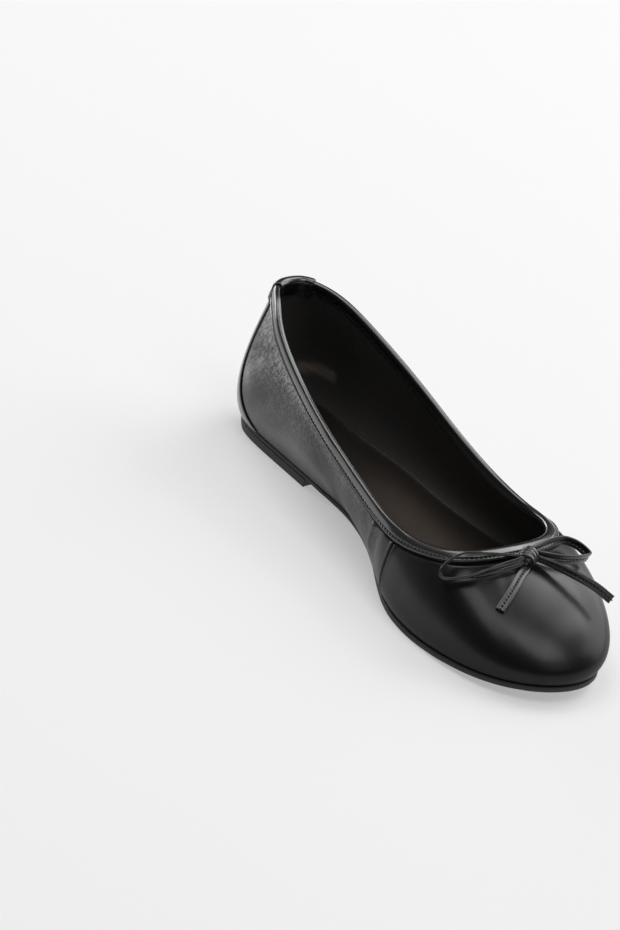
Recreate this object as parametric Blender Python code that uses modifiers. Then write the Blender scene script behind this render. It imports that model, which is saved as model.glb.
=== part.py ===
"""Ballet flat for the left foot, in black leather.

A low pump with a wide open top, cut on a round-toed last: a thin wrapped upper, a bound topline,
a strip over the heel seam, a thin leather sole on a low heel, a sock inside, and a small bow
tied from a flat leather strip at the throat.

Everything is worked out from one surface, the outside of the upper. Round the shoe it follows
the ribs of the table below. Up each rib it climbs from the foot line, where the upper meets the
sole, to the topline, where the shoe opens.

The toe points to -Y and the outer side of the foot is +X. The empty that every piece hangs from
puts the origin at the middle of the shoe, on the floor.
"""

import math
from collections import namedtuple

import bpy
import bmesh
import numpy as np
from mathutils import Matrix, Vector

# Sizes of the last, metres
SOLE_LENGTH = 0.248          # back of the heel to the tip of the toe, along the foot line
BALL_WIDTH = 0.084           # across the foot line at the ball of the foot
WAIST_WIDTH = 0.053          # across the foot line at the arch
SEAT_WIDTH = 0.049           # across the foot line at the heel seat
MOUTH_WIDTH = 0.066          # across the topline at its widest, beside the ball
BACK_HEIGHT = 0.0717         # floor to the topline at the back
THROAT_HEIGHT = 0.041        # floor to the topline at the front

# Sizes of the materials, metres
GAP = 0.0003                 # clearance kept between two pieces that touch
WALL = 0.0011                # upper leather and lining together
BINDING = 0.0005             # leather of the bound topline
BINDING_DEPTH = 0.0053       # how far the binding reaches down outside
BINDING_TUCK = 0.0050        # how far it reaches down inside
STRIP = 0.0008               # leather of the heel strip
STRIP_TOP_WIDTH = 0.023      # heel strip at the topline
STRIP_WIDTH = 0.037          # heel strip just below the binding
STRIP_FOOT_WIDTH = 0.080     # heel strip at the sole, where it flares to cover the counter
STRIP_FLARE = 2.2            # how late it flares: 1 would be a straight taper
STRIP_TUCK = 0.0080          # how far the heel strip folds down inside
STRIP_RAMP = 0.0030          # over this far it steps down off the binding's lower edge
STRIP_END = 0.03             # where it stops, as a share of the climb from the foot line
SOCK = 0.0016                # the sock, with the insole board under it

# Sizes of the sole and heel, metres
SOLE = 0.0029                # outsole at the forefoot
SOLE_WAIST = 0.0022          # outsole at the arch and over the heel
SOLE_PROUD = 0.0008          # how far the sole's edge stands out past the upper at the ball
SEAT_PROUD = 0.0001          # and over the heel and arch
SOLE_ROUND = 0.0006          # rounding of the sole's two edges
SOLE_WIDEN = 0.1             # share of the length over which the edge comes to stand out
HEEL_HEIGHT = 0.0050         # heel block under the sole
HEEL_TAPER = 0.0010          # how much the block draws in at the floor
HEEL_HOLLOW = 0.0015         # how far the breast of the heel curves back
HEEL_ROUND = 0.0004          # rounding of its edge at the floor
TOE_SPRING = 0.0060          # lift of the sole under the tip of the toe
BREAST = 0.265               # the heel's breast, as a share of the length from the back
FLAT_REAR = 0.585            # the forefoot touches the floor from here, as a share
FLAT_FRONT = 0.735           # to here

# Sizes of the bow, metres
BOW_STRIP = 0.0042           # width of the strip that it is tied from
BOW_THICK = 0.0011           # thickness of that strip, folded and stitched
BOW_REACH = 0.034            # what the reach of the routes below is a share of
BOW_SET = 0.0086             # middle of the knot, ahead of the topline's front
KNOT_WIDTH = 0.0088          # across the knot, each way
KNOT_HEIGHT = 0.0056         # from its foot to its top

# Fineness of the solids
SPAN_COLUMNS = 4             # columns of faces from each rib to the next
WALL_STEPS = 12              # faces up the wall
STRIP_COLUMNS = 17           # points across the heel strip
STRIP_ROWS = 13              # and down it, from the binding to the sole
LEG_SHARES = (0.0, 0.25, 0.5, 0.75, 1.0)   # where the binding's legs follow the wall
BREAST_POINTS = 7            # points across the heel's breast
BEND_SECTIONS = 3            # sections of a bow strip for each row of its route

# Along: share of the length from the back. Foot: share of half its width, from the middle line.
# Top: share of half the mouth's width. Lift: share of the way from the throat's height to the
# back's. The last four say how the wall leaves the foot line and reaches the topline, as shares
# of the straight span between the two: outward and up at the foot, outward and down at the top.
Rib = namedtuple("Rib", "name width foot_along foot top_along top lift "
                        "foot_out foot_up top_out top_down")

BACK = Rib("back", SEAT_WIDTH, 0.000, 0.00, 0.005, 0.02, 1.00, 0.15, 0.24, 0.06, 0.28)
INNER_RIBS = [
    Rib("heel turn", SEAT_WIDTH, 0.018, -0.55, 0.018, -0.29, 1.00, 0.16, 0.23, 0.05, 0.28),
    Rib("heel corner", SEAT_WIDTH, 0.075, -0.82, 0.066, -0.52, 0.95, 0.15, 0.22, 0.05, 0.28),
    Rib("counter", SEAT_WIDTH, 0.195, -0.81, 0.132, -0.71, 0.70, 0.12, 0.25, 0.03, 0.28),
    Rib("heel breast", WAIST_WIDTH, 0.320, -0.69, 0.250, -0.86, 0.36, 0.12, 0.27, 0.01, 0.28),
    Rib("arch", WAIST_WIDTH, 0.420, -0.65, 0.370, -0.98, 0.14, 0.26, 0.26, 0.00, 0.27),
    Rib("joint rear", BALL_WIDTH, 0.546, -0.63, 0.490, -1.03, -0.07, 0.25, 0.25, -0.01, 0.28),
    Rib("ball", BALL_WIDTH, 0.680, -0.97, 0.609, -1.07, -0.18, 0.17, 0.23, 0.06, 0.15),
    Rib("toe shoulder", BALL_WIDTH, 0.834, -0.94, 0.700, -0.94, -0.11, 0.09, 0.21, 0.15, 0.06),
    Rib("toe corner", BALL_WIDTH, 0.945, -0.65, 0.757, -0.64, 0.03, 0.10, 0.20, 0.23, 0.10),
]
TIP = Rib("toe tip", BALL_WIDTH, 1.000, -0.15, 0.766, 0.03, 0.05, 0.12, 0.23, 0.32, 0.09)
OUTER_RIBS = [
    Rib("heel turn", SEAT_WIDTH, 0.015, 0.57, 0.021, 0.29, 1.00, 0.16, 0.23, 0.05, 0.28),
    Rib("heel corner", SEAT_WIDTH, 0.065, 0.92, 0.082, 0.49, 0.97, 0.14, 0.22, 0.03, 0.28),
    Rib("counter", SEAT_WIDTH, 0.168, 1.01, 0.167, 0.65, 0.79, 0.12, 0.24, 0.02, 0.30),
    Rib("heel breast", WAIST_WIDTH, 0.302, 1.12, 0.292, 0.80, 0.49, 0.16, 0.21, 0.02, 0.31),
    Rib("arch", WAIST_WIDTH, 0.430, 1.27, 0.412, 0.88, 0.21, 0.24, 0.20, 0.03, 0.30),
    Rib("joint rear", BALL_WIDTH, 0.564, 0.99, 0.509, 0.97, -0.01, 0.22, 0.24, 0.01, 0.28),
    Rib("ball", BALL_WIDTH, 0.710, 1.06, 0.602, 1.05, -0.13, 0.15, 0.24, 0.07, 0.17),
    Rib("toe shoulder", BALL_WIDTH, 0.864, 0.81, 0.684, 1.00, -0.09, 0.19, 0.26, 0.19, 0.03),
    Rib("toe corner", BALL_WIDTH, 0.977, 0.39, 0.745, 0.67, 0.00, 0.18, 0.25, 0.29, 0.05),
]
ROUND = [BACK] + INNER_RIBS + [TIP] + OUTER_RIBS[::-1]

# How each strip of the bow runs. Bearing: degrees round the knot, 0 at the outer side and 90 at
# the heel side. Reach: distance from the knot's side, as a share of BOW_REACH. Lift: how high it
# rides over its lowest place, as a share of the strip's width.
Bend = namedtuple("Bend", "bearing reach lift")

INNER_LOOP = [
    Bend(168, 0.00, 0.05), Bend(166, 0.27, 0.05), Bend(164, 0.48, 0.10), Bend(161, 0.65, 0.14),
    Bend(162, 0.79, 0.19), Bend(165, 0.88, 0.19), Bend(170, 0.87, 0.14), Bend(178, 0.72, 0.07),
    Bend(184, 0.53, 0.03), Bend(189, 0.28, 0.06), Bend(197, 0.09, 0.15), Bend(203, 0.00, 0.20),
]
OUTER_LOOP = [
    Bend(32, 0.00, 0.05), Bend(20, 0.20, 0.10), Bend(17, 0.40, 0.19), Bend(14, 0.56, 0.31),
    Bend(7, 0.67, 0.43), Bend(0, 0.74, 0.43), Bend(-6, 0.75, 0.40), Bend(-13, 0.59, 0.31),
    Bend(-17, 0.37, 0.19), Bend(-15, 0.18, 0.10), Bend(1, 0.00, 0.05),
]
INNER_TAIL = [
    Bend(236, 0.00, 0.02), Bend(223, 0.18, 0.02), Bend(220, 0.37, 0.02), Bend(218, 0.55, 0.02),
    Bend(216, 0.74, 0.12),
]
OUTER_TAIL = [
    Bend(-28, 0.00, 0.24), Bend(-38, 0.18, 0.38), Bend(-44, 0.37, 0.62), Bend(-48, 0.56, 0.96),
    Bend(-51, 0.74, 1.30), Bend(-54, 0.92, 1.60),
]

COLUMNS = len(ROUND) * SPAN_COLUMNS
TIP_COLUMN = (len(INNER_RIBS) + 1) * SPAN_COLUMNS


def ease(share):
    """Smooth step from 0 to 1."""
    share = np.clip(share, 0.0, 1.0)
    return share * share * (3.0 - 2.0 * share)


def sole_under(along):
    """Height of the sole's underside: on the heel, down the arch, flat, then the toe spring."""
    fall = ease((along - BREAST) / (FLAT_REAR - BREAST))
    spring = np.clip((along - FLAT_FRONT) / (1.0 - FLAT_FRONT), 0.0, None)
    return HEEL_HEIGHT * (1.0 - fall) + TOE_SPRING * spring ** 1.6


def sole_thick(along):
    """The outsole is thin over the heel and arch, and thickens towards the ball."""
    return SOLE_WAIST + (SOLE - SOLE_WAIST) * ease((along - BREAST) / (FLAT_REAR - BREAST))


def sole_over(along):
    """Height of the sole's upper face."""
    return sole_under(along) + sole_thick(along)


def share_along(points):
    """How far along the shoe the points lie, as a share of its length from the back."""
    return 0.5 - points[..., 1] / SOLE_LENGTH


class Loop:
    """A smooth closed curve through one point, or one vector, for each rib."""

    def __init__(self, points):
        self.points = np.asarray(points, float)
        count = len(self.points)
        system = 4.0 * np.eye(count) + np.roll(np.eye(count), 1, 0) + np.roll(np.eye(count), -1, 0)
        pull = 3.0 * (np.roll(self.points, -1, 0) - np.roll(self.points, 1, 0))
        self.slopes = np.linalg.solve(system, pull)

    def at(self, rib):
        """Points at these places round the shoe, counted in ribs from the back."""
        rib = np.asarray(rib, float) % len(self.points)
        low = np.floor(rib).astype(int) % len(self.points)
        high = (low + 1) % len(self.points)
        t = (rib - np.floor(rib))[..., None]
        return ((2 * t ** 3 - 3 * t ** 2 + 1) * self.points[low]
                + (t ** 3 - 2 * t ** 2 + t) * self.slopes[low]
                + (3 * t ** 2 - 2 * t ** 3) * self.points[high]
                + (t ** 3 - t ** 2) * self.slopes[high])

    def outward(self, rib):
        """Level direction that points away from the shoe."""
        step = self.at(np.asarray(rib) + 0.01) - self.at(np.asarray(rib) - 0.01)
        level = np.stack([-step[..., 1], step[..., 0], np.zeros_like(step[..., 0])], -1)
        return -level / np.linalg.norm(level, axis=-1, keepdims=True)


def place(along, x, z):
    """A point of the last, from its share of the length."""
    return (x, SOLE_LENGTH * (0.5 - along), z)


def top_height(lift):
    return THROAT_HEIGHT + lift * (BACK_HEIGHT - THROAT_HEIGHT)


FOOT = Loop([place(rib.foot_along, rib.foot * rib.width / 2, 0.0) for rib in ROUND])
TOP = Loop([place(rib.top_along, rib.top * MOUTH_WIDTH / 2, top_height(rib.lift))
            for rib in ROUND])


def handles():
    """Vectors that say how the wall leaves the foot line and reaches the topline."""
    ribs = np.arange(len(ROUND))
    foot = foot_line(ribs)
    span = np.linalg.norm(TOP.at(ribs) - foot, axis=1, keepdims=True)
    shares = np.array([[rib.foot_out, rib.foot_up, rib.top_out, rib.top_down] for rib in ROUND])
    up = np.array([0.0, 0.0, 1.0])
    leave = span * (shares[:, 0:1] * FOOT.outward(ribs) + shares[:, 1:2] * up)
    reach = span * (shares[:, 2:3] * TOP.outward(ribs) - shares[:, 3:4] * up)
    return Loop(leave), Loop(reach)


def foot_line(rib):
    """The upper's lower edge, just clear of the sole all the way round."""
    points = FOOT.at(rib)
    points[..., 2] = sole_over(share_along(points)) + GAP
    return points


LEAVE, REACH = handles()


def wall(rib, climb):
    """A point of the upper's outside. Climb runs from 0 at the foot line to 1 at the topline."""
    t = np.asarray(climb, float)[..., None]
    foot = foot_line(rib)
    top = TOP.at(rib)
    return ((1 - t) ** 3 * foot + 3 * (1 - t) ** 2 * t * (foot + LEAVE.at(rib))
            + 3 * (1 - t) * t ** 2 * (top + REACH.at(rib)) + t ** 3 * top)


def wall_normal(rib, climb):
    """Direction square to the wall, outward."""
    rib = np.asarray(rib, float)
    climb = np.asarray(climb, float)
    low = np.clip(climb - 0.005, 0.0, 1.0)
    high = np.clip(climb + 0.005, 0.0, 1.0)
    rise = wall(rib, high) - wall(rib, low)
    run = wall(rib + 0.01, climb) - wall(rib - 0.01, climb)
    square = np.cross(run, rise)
    return square / np.linalg.norm(square, axis=-1, keepdims=True)


def climb_below_top(rib, depth):
    """The climb of a point that lies this far down the wall from the topline."""
    fine = np.linspace(1.0, 0.0, 81)
    climbs = []
    for one, deep in zip(np.atleast_1d(rib), np.broadcast_to(depth, np.shape(np.atleast_1d(rib)))):
        points = wall(np.full(len(fine), one), fine)
        steps = np.linalg.norm(np.diff(points, axis=0), axis=1)
        run = np.concatenate([[0.0], np.cumsum(steps)])
        climbs.append(np.interp(deep, run, fine))
    return np.array(climbs)


def material(name, colour, roughness):
    """A plain Principled material for one piece."""
    made = bpy.data.materials.new(name)
    made.use_nodes = True
    shader = made.node_tree.nodes["Principled BSDF"]
    shader.inputs["Base Color"].default_value = (*colour, 1.0)
    shader.inputs["Roughness"].default_value = roughness
    shader.inputs["Metallic"].default_value = 0.0
    return made


def add_object(name, points, faces, colour, roughness, smooth=True):
    """One named piece from its points and faces, with its faces turned outward."""
    mesh = bpy.data.meshes.new(name)
    mesh.from_pydata([tuple(point) for point in points], [], faces)
    built = bmesh.new()
    built.from_mesh(mesh)
    bmesh.ops.recalc_face_normals(built, faces=built.faces)
    built.to_mesh(mesh)
    built.free()
    if smooth:
        mesh.shade_smooth()
        mesh.set_sharp_from_angle(angle=math.radians(40))
    mesh.materials.append(material(name, colour, roughness))
    piece = bpy.data.objects.new(name, mesh)
    piece.parent = SHOE
    PARTS.objects.link(piece)
    return piece


def ring_faces(rings, count, closed):
    """Quads between neighbouring rings of points, each ring a closed loop."""
    faces = []
    for ring in range(rings if closed else rings - 1):
        here = ring * count
        there = (ring + 1) % rings * count
        for point in range(count):
            following = (point + 1) % count
            faces.append((here + point, here + following, there + following, there + point))
    return faces


def loft(name, rings, colour, roughness, closed=False):
    """A solid through a row of closed sections, capped at both ends unless it closes."""
    rings = np.asarray(rings, float)
    sections, count = rings.shape[:2]
    faces = ring_faces(sections, count, closed)
    if not closed:
        faces.append(tuple(range(count)))
        faces.append(tuple(range((sections - 1) * count, sections * count)))
    return add_object(name, rings.reshape(-1, 3), faces, colour, roughness)


def plate(name, rings, colour, roughness):
    """A solid from outlines of the shoe laid one on another. The first and the last are filled
    with strips that run across from the inner side to the outer side."""
    rings = np.asarray(rings, float)
    levels = len(rings)
    faces = ring_faces(levels, COLUMNS, False)
    for base in (0, (levels - 1) * COLUMNS):
        faces.append((base, base + 1, base + COLUMNS - 1))
        for column in range(1, TIP_COLUMN - 1):
            faces.append((base + column, base + column + 1,
                          base + COLUMNS - column - 1, base + COLUMNS - column))
        faces.append((base + TIP_COLUMN - 1, base + TIP_COLUMN, base + TIP_COLUMN + 1))
    return add_object(name, rings.reshape(-1, 3), faces, colour, roughness)


BLACK = (0.018, 0.017, 0.017)
SOCK_BLACK = (0.020, 0.016, 0.013)
SOLE_BLACK = (0.022, 0.021, 0.020)

for old in list(bpy.data.objects):
    bpy.data.objects.remove(old, do_unlink=True)
PARTS = bpy.data.collections.new("ballet_flat")
bpy.context.scene.collection.children.link(PARTS)
SHOE = bpy.data.objects.new("shoe", None)
PARTS.objects.link(SHOE)

AROUND = np.arange(COLUMNS) / SPAN_COLUMNS


def make_upper():
    """The vamp, quarters and lining as one wall, open at the topline and under the foot."""
    climbs = np.linspace(0.0, 1.0, WALL_STEPS + 1)
    points = np.array([wall(AROUND, np.full(COLUMNS, climb)) for climb in climbs])
    faces = ring_faces(WALL_STEPS + 1, COLUMNS, False)
    upper = add_object("upper", points.reshape(-1, 3), faces, BLACK, 0.36)
    probe = upper.data.polygons[0]
    if np.dot(np.array(probe.normal), FOOT.outward(np.array([0.0]))[0]) < 0.0:
        upper.data.flip_normals()
    thicken = upper.modifiers.new("wall", "SOLIDIFY")
    thicken.thickness = WALL
    thicken.offset = -1.0
    thicken.use_even_offset = True
    return upper


def sole_edge(rib, inset):
    """The outline of the sole, level, drawn in by inset."""
    foot = FOOT.at(rib)
    forward = ease((share_along(foot) - FLAT_REAR + SOLE_WIDEN) / SOLE_WIDEN)[:, None]
    proud = SEAT_PROUD + (SOLE_PROUD - SEAT_PROUD) * forward
    return foot + FOOT.outward(rib) * (proud - inset)


def sole_outline(inset, lift_share):
    """The sole's edge, drawn in by inset, part way up from its underside to its upper face."""
    points = sole_edge(AROUND, inset)
    along = share_along(points)
    points[:, 2] = sole_under(along) + lift_share * sole_thick(along)
    return points


def make_outsole():
    """The thin outsole, with softened edges."""
    rings = [sole_outline(SOLE_ROUND, 0.0), sole_outline(0.0, 0.2),
             sole_outline(0.0, 0.8), sole_outline(SOLE_ROUND, 1.0)]
    return plate("outsole", rings, SOLE_BLACK, 0.55)


def heel_outline(inset):
    """The sole's outline behind the breast, closed by the curved breast."""
    edge = sole_edge(AROUND, inset)
    along = share_along(edge)
    order = np.concatenate([np.arange(TIP_COLUMN, COLUMNS), np.arange(0, TIP_COLUMN)])
    clear = BREAST - HEEL_TAPER * 2.0 / SOLE_LENGTH
    kept = [edge[column] for column in order if along[column] < clear]
    sides = []
    for side in (range(TIP_COLUMN, COLUMNS), range(0, TIP_COLUMN)):
        ranked = sorted(side, key=lambda column: along[column])
        x = np.interp(BREAST, [along[c] for c in ranked], [edge[c, 0] for c in ranked])
        sides.append(x)
    outer_x, inner_x = sides
    breast = []
    for step in range(BREAST_POINTS):
        across = step / (BREAST_POINTS - 1)
        bow = HEEL_HOLLOW * math.sin(math.pi * across)
        breast.append(np.array([inner_x + (outer_x - inner_x) * across,
                                SOLE_LENGTH * (0.5 - BREAST) + inset + bow, 0.0]))
    return np.array(kept + breast)


def make_heel():
    """The low heel block under the sole."""
    top = HEEL_HEIGHT - GAP
    levels = [(HEEL_TAPER + HEEL_ROUND, 0.0), (HEEL_TAPER, HEEL_ROUND), (0.0, top)]
    rings = []
    for inset, height in levels:
        ring = heel_outline(inset)
        ring[:, 2] = height
        rings.append(ring)
    return loft("heel", rings, SOLE_BLACK, 0.5)


def make_sock():
    """The sock on its insole board, which fills the floor of the shoe between the walls."""
    inner = wall(AROUND, np.zeros(COLUMNS)) - WALL * wall_normal(AROUND, np.zeros(COLUMNS))
    edge = inner - FOOT.outward(AROUND) * GAP
    rings = []
    for inset, height in ((0.0, 0.0), (0.0, SOCK * 0.7), (SOCK * 0.3, SOCK)):
        ring = edge - FOOT.outward(AROUND) * inset
        ring[:, 2] = sole_over(share_along(ring)) + GAP + height
        rings.append(ring)
    return plate("insole", rings, SOCK_BLACK, 0.45)


def rim_frame(rib):
    """At the topline: the point, the way up out of the wall, and the way outward."""
    ones = np.ones(len(rib))
    top = wall(rib, ones)
    up = top - wall(rib, ones - 0.01)
    up /= np.linalg.norm(up, axis=1, keepdims=True)
    return top, up, wall_normal(rib, ones)


def wall_offset(rib, depth, offset):
    """A point this far down the wall from the topline and this far out from its outside."""
    climb = climb_below_top(rib, depth)
    return wall(rib, climb) + offset * wall_normal(rib, climb)


def make_binding():
    """The strip that is folded over the topline, all the way round."""
    top, up, out = rim_frame(AROUND)
    face = GAP + BINDING
    inside = -(WALL + GAP)
    section = [wall_offset(AROUND, BINDING_DEPTH * share, GAP) for share in LEG_SHARES]
    section += [
        wall_offset(AROUND, BINDING_DEPTH, face * 0.8),
        wall_offset(AROUND, BINDING_DEPTH * 0.85, face),
        wall_offset(AROUND, BINDING_DEPTH * 0.4, face),
        top + out * face,
        top + out * (face * 0.4) + up * face,
        top - out * (WALL + face * 0.4) + up * face,
        top - out * (WALL + face),
        wall_offset(AROUND, BINDING_TUCK * 0.5, inside - BINDING),
        wall_offset(AROUND, BINDING_TUCK, inside - BINDING),
    ]
    section += [wall_offset(AROUND, BINDING_TUCK * share, inside) for share in LEG_SHARES[::-1]]
    section += [top + out * inside + up * GAP, top + out * GAP + up * GAP]
    rings = np.swapaxes(np.array(section), 0, 1)
    return loft("collar_binding", rings, BLACK, 0.34, closed=True)


def rib_at(climb, distance):
    """The place round the shoe that lies this far from the back seam, along the wall."""
    fine = np.linspace(0.0, 3.0, 61)
    side = 1.0 if distance < 0 else -1.0
    points = wall(side * fine, np.full(len(fine), climb))
    run = np.concatenate([[0.0], np.cumsum(np.linalg.norm(np.diff(points, axis=0), axis=1))])
    return side * np.interp(abs(distance), run, fine)


def strip_width(climb):
    """Across the strip at this climb: narrow over the topline, then flared towards the sole."""
    full = STRIP_WIDTH + (STRIP_FOOT_WIDTH - STRIP_WIDTH) * (1.0 - climb) ** STRIP_FLARE
    low = float(climb_below_top(np.zeros(1), BINDING_DEPTH + STRIP_RAMP)[0])
    return STRIP_TOP_WIDTH + (full - STRIP_TOP_WIDTH) * ease((1.0 - climb) / (1.0 - low))


def make_strip():
    """The strip over the back seam: inside, over the bound topline, and down to the sole."""
    over = 2 * GAP + BINDING
    inside = -(WALL + over)
    across = np.linspace(-0.5, 0.5, STRIP_COLUMNS)
    top_ribs = np.array([rib_at(1.0, STRIP_TOP_WIDTH * share) for share in across])
    top, up, out = rim_frame(top_ribs)
    half = STRIP / 2
    sheets = []
    for depth in (STRIP_TUCK, STRIP_TUCK * 0.6, STRIP_TUCK * 0.3):
        sheets.append((wall_offset(top_ribs, depth, inside),
                       wall_offset(top_ribs, depth, inside - STRIP)))
    sheets.append((top + out * inside, top + out * (inside - STRIP)))
    sheets.append((top + out * inside + up * over,
                   top + out * (inside - half) + up * (over + half)))
    sheets.append((top + out * (inside + half) + up * over,
                   top + out * (inside + half) + up * (over + STRIP)))
    sheets.append((top + out * (over - half) + up * over,
                   top + out * (over - half) + up * (over + STRIP)))
    sheets.append((top + out * over + up * over,
                   top + out * (over + half) + up * (over + half)))
    sheets.append((top + out * over, top + out * (over + STRIP)))
    for depth in (BINDING_DEPTH * 0.5, BINDING_DEPTH + BINDING):
        climb = float(climb_below_top(np.zeros(1), depth)[0])
        ribs = np.array([rib_at(climb, strip_width(climb) * share) for share in across])
        sheets.append((wall_offset(ribs, depth, over), wall_offset(ribs, depth, over + STRIP)))
    low_climb = float(climb_below_top(np.zeros(1), BINDING_DEPTH + STRIP_RAMP)[0])
    for climb in STRIP_END + (low_climb - STRIP_END) * np.linspace(1.0, 0.0, STRIP_ROWS) ** 1.3:
        ribs = np.array([rib_at(climb, strip_width(climb) * share) for share in across])
        base = wall(ribs, np.full(len(ribs), climb))
        square = wall_normal(ribs, np.full(len(ribs), climb))
        sheets.append((base + square * GAP, base + square * (GAP + STRIP)))
    rings = [np.vstack([under, over_face[::-1]]) for under, over_face in sheets]
    return loft("heel_strip", rings, BLACK, 0.36)


def wall_under(x, y):
    """Where on the vamp, as rib and climb, the points lie that are level with these in plan."""
    rib = np.full(len(x), float(TIP_COLUMN / SPAN_COLUMNS))
    climb = np.full(len(x), 0.8)
    step = 0.01
    for _ in range(12):
        here = wall(rib, climb)
        round_way = (wall(rib + step, climb) - here) / step
        up_way = (wall(rib, climb + step) - here) / step
        miss_x, miss_y = x - here[:, 0], y - here[:, 1]
        twist = round_way[:, 0] * up_way[:, 1] - round_way[:, 1] * up_way[:, 0]
        rib = rib + (miss_x * up_way[:, 1] - miss_y * up_way[:, 0]) / twist
        climb = np.clip(climb + (miss_y * round_way[:, 0] - miss_x * round_way[:, 1]) / twist,
                        0.0, 0.99)
    return rib, climb


def knot_spot():
    """The knot's place in plan: on the middle line of the vamp, ahead of the topline."""
    front = TOP.at(np.array([TIP_COLUMN / SPAN_COLUMNS]))[0]
    return np.array([front[0], front[1] - BOW_SET])


def smooth_run(rows, count):
    """A smooth open curve through the rows, read at this many even places."""
    rows = np.asarray(rows, float)
    last = len(rows) - 1
    slopes = np.gradient(rows, axis=0)
    place_along = np.linspace(0.0, last, count)
    low = np.minimum(place_along.astype(int), last - 1)
    t = (place_along - low)[:, None]
    return ((2 * t ** 3 - 3 * t ** 2 + 1) * rows[low] + (t ** 3 - 2 * t ** 2 + t) * slopes[low]
            + (3 * t ** 2 - 2 * t ** 3) * rows[low + 1] + (t ** 3 - t ** 2) * slopes[low + 1])


def bow_route(bends, lowest):
    """Points down the middle of a strip, and the way square to the vamp at each."""
    bearing = np.radians([bend.bearing for bend in bends])
    reach = KNOT_WIDTH / 2 + GAP + BOW_REACH * np.array([bend.reach for bend in bends])
    centre = knot_spot()
    rib, climb = wall_under(centre[0] + reach * np.cos(bearing),
                            centre[1] + reach * np.sin(bearing))
    square = wall_normal(rib, climb)
    height = lowest + BOW_STRIP * np.array([bend.lift for bend in bends])
    count = BEND_SECTIONS * (len(bends) - 1) + 1
    points = smooth_run(wall(rib, climb) + square * height[:, None], count)
    square = smooth_run(square, count)
    return points, square / np.linalg.norm(square, axis=1, keepdims=True)


def make_bow_strip(name, bends, flat, over_binding):
    """One strip of the bow: on edge, or lying flat on the vamp."""
    lowest = GAP + (BOW_THICK if flat else BOW_STRIP) / 2
    if over_binding:
        lowest += BINDING + GAP
    points, square = bow_route(bends, lowest)
    along = np.gradient(points, axis=0)
    along /= np.linalg.norm(along, axis=1, keepdims=True)
    side = np.cross(along, square)
    side /= np.linalg.norm(side, axis=1, keepdims=True)
    upright = np.cross(side, along)
    wide, thin = (side, upright) if flat else (upright, side)
    wide = wide * BOW_STRIP / 2
    thin = thin * BOW_THICK / 2
    rings = [[p + w + t, p + w - t, p - w - t, p - w + t]
             for p, w, t in zip(points, wide, thin)]
    return loft(name, rings, BLACK, 0.4)


def make_knot():
    """The knot at the middle of the bow, seated on the binding at the throat."""
    spot = knot_spot()
    rib, climb = wall_under(spot[:1], spot[1:])
    square = wall_normal(rib, climb)[0]
    middle = wall(rib, climb)[0] + square * (2 * GAP + BINDING + KNOT_HEIGHT / 2)
    bpy.ops.mesh.primitive_uv_sphere_add(segments=20, ring_count=12, radius=0.5)
    knot = bpy.context.object
    knot.name = "bow_knot"
    knot.data.name = "bow_knot"
    knot.data.transform(Matrix.Diagonal((KNOT_WIDTH, KNOT_WIDTH, KNOT_HEIGHT, 1.0)))
    knot.rotation_euler = Vector(square).to_track_quat("Z", "Y").to_euler()
    knot.location = middle
    knot.parent = SHOE
    knot.data.shade_smooth()
    knot.data.materials.append(material("bow_knot", BLACK, 0.4))
    for collection in list(knot.users_collection):
        collection.objects.unlink(knot)
    PARTS.objects.link(knot)


def settle(pieces):
    """Puts the origin at the middle of the shoe's length and width, at the floor."""
    bpy.context.view_layer.update()
    graph = bpy.context.evaluated_depsgraph_get()
    corners = np.array([corner[:] for piece in pieces
                        for corner in piece.evaluated_get(graph).bound_box])
    low, high = corners.min(axis=0), corners.max(axis=0)
    SHOE.location = (-(low[0] + high[0]) / 2, -(low[1] + high[1]) / 2, -low[2])


settle([make_upper(), make_outsole(), make_heel(), make_sock(), make_binding(), make_strip()])
make_knot()
make_bow_strip("bow_loop_inner", INNER_LOOP, False, True)
make_bow_strip("bow_loop_outer", OUTER_LOOP, False, True)
make_bow_strip("bow_tail_inner", INNER_TAIL, True, False)
make_bow_strip("bow_tail_outer", OUTER_TAIL, False, False)
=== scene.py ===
# %% [markdown]
# A ballet flat is the plainest of shoes: one thin wall of soft black leather, pulled over a last
# and glued under to a thin sole. There is almost nothing to hide behind, so the likeness is all
# in the curves of the wall, the bound edge, the little bow and the way the leather takes light.
# The solids give the exact shape of the last. Here each of them is made again from the same
# ribs, with the fine surface that leather has.

# %% Open the frame
import math
from collections import namedtuple
from functools import partial

import bmesh
import bpy
import numpy as np
from mathutils import Matrix, Vector


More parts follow.
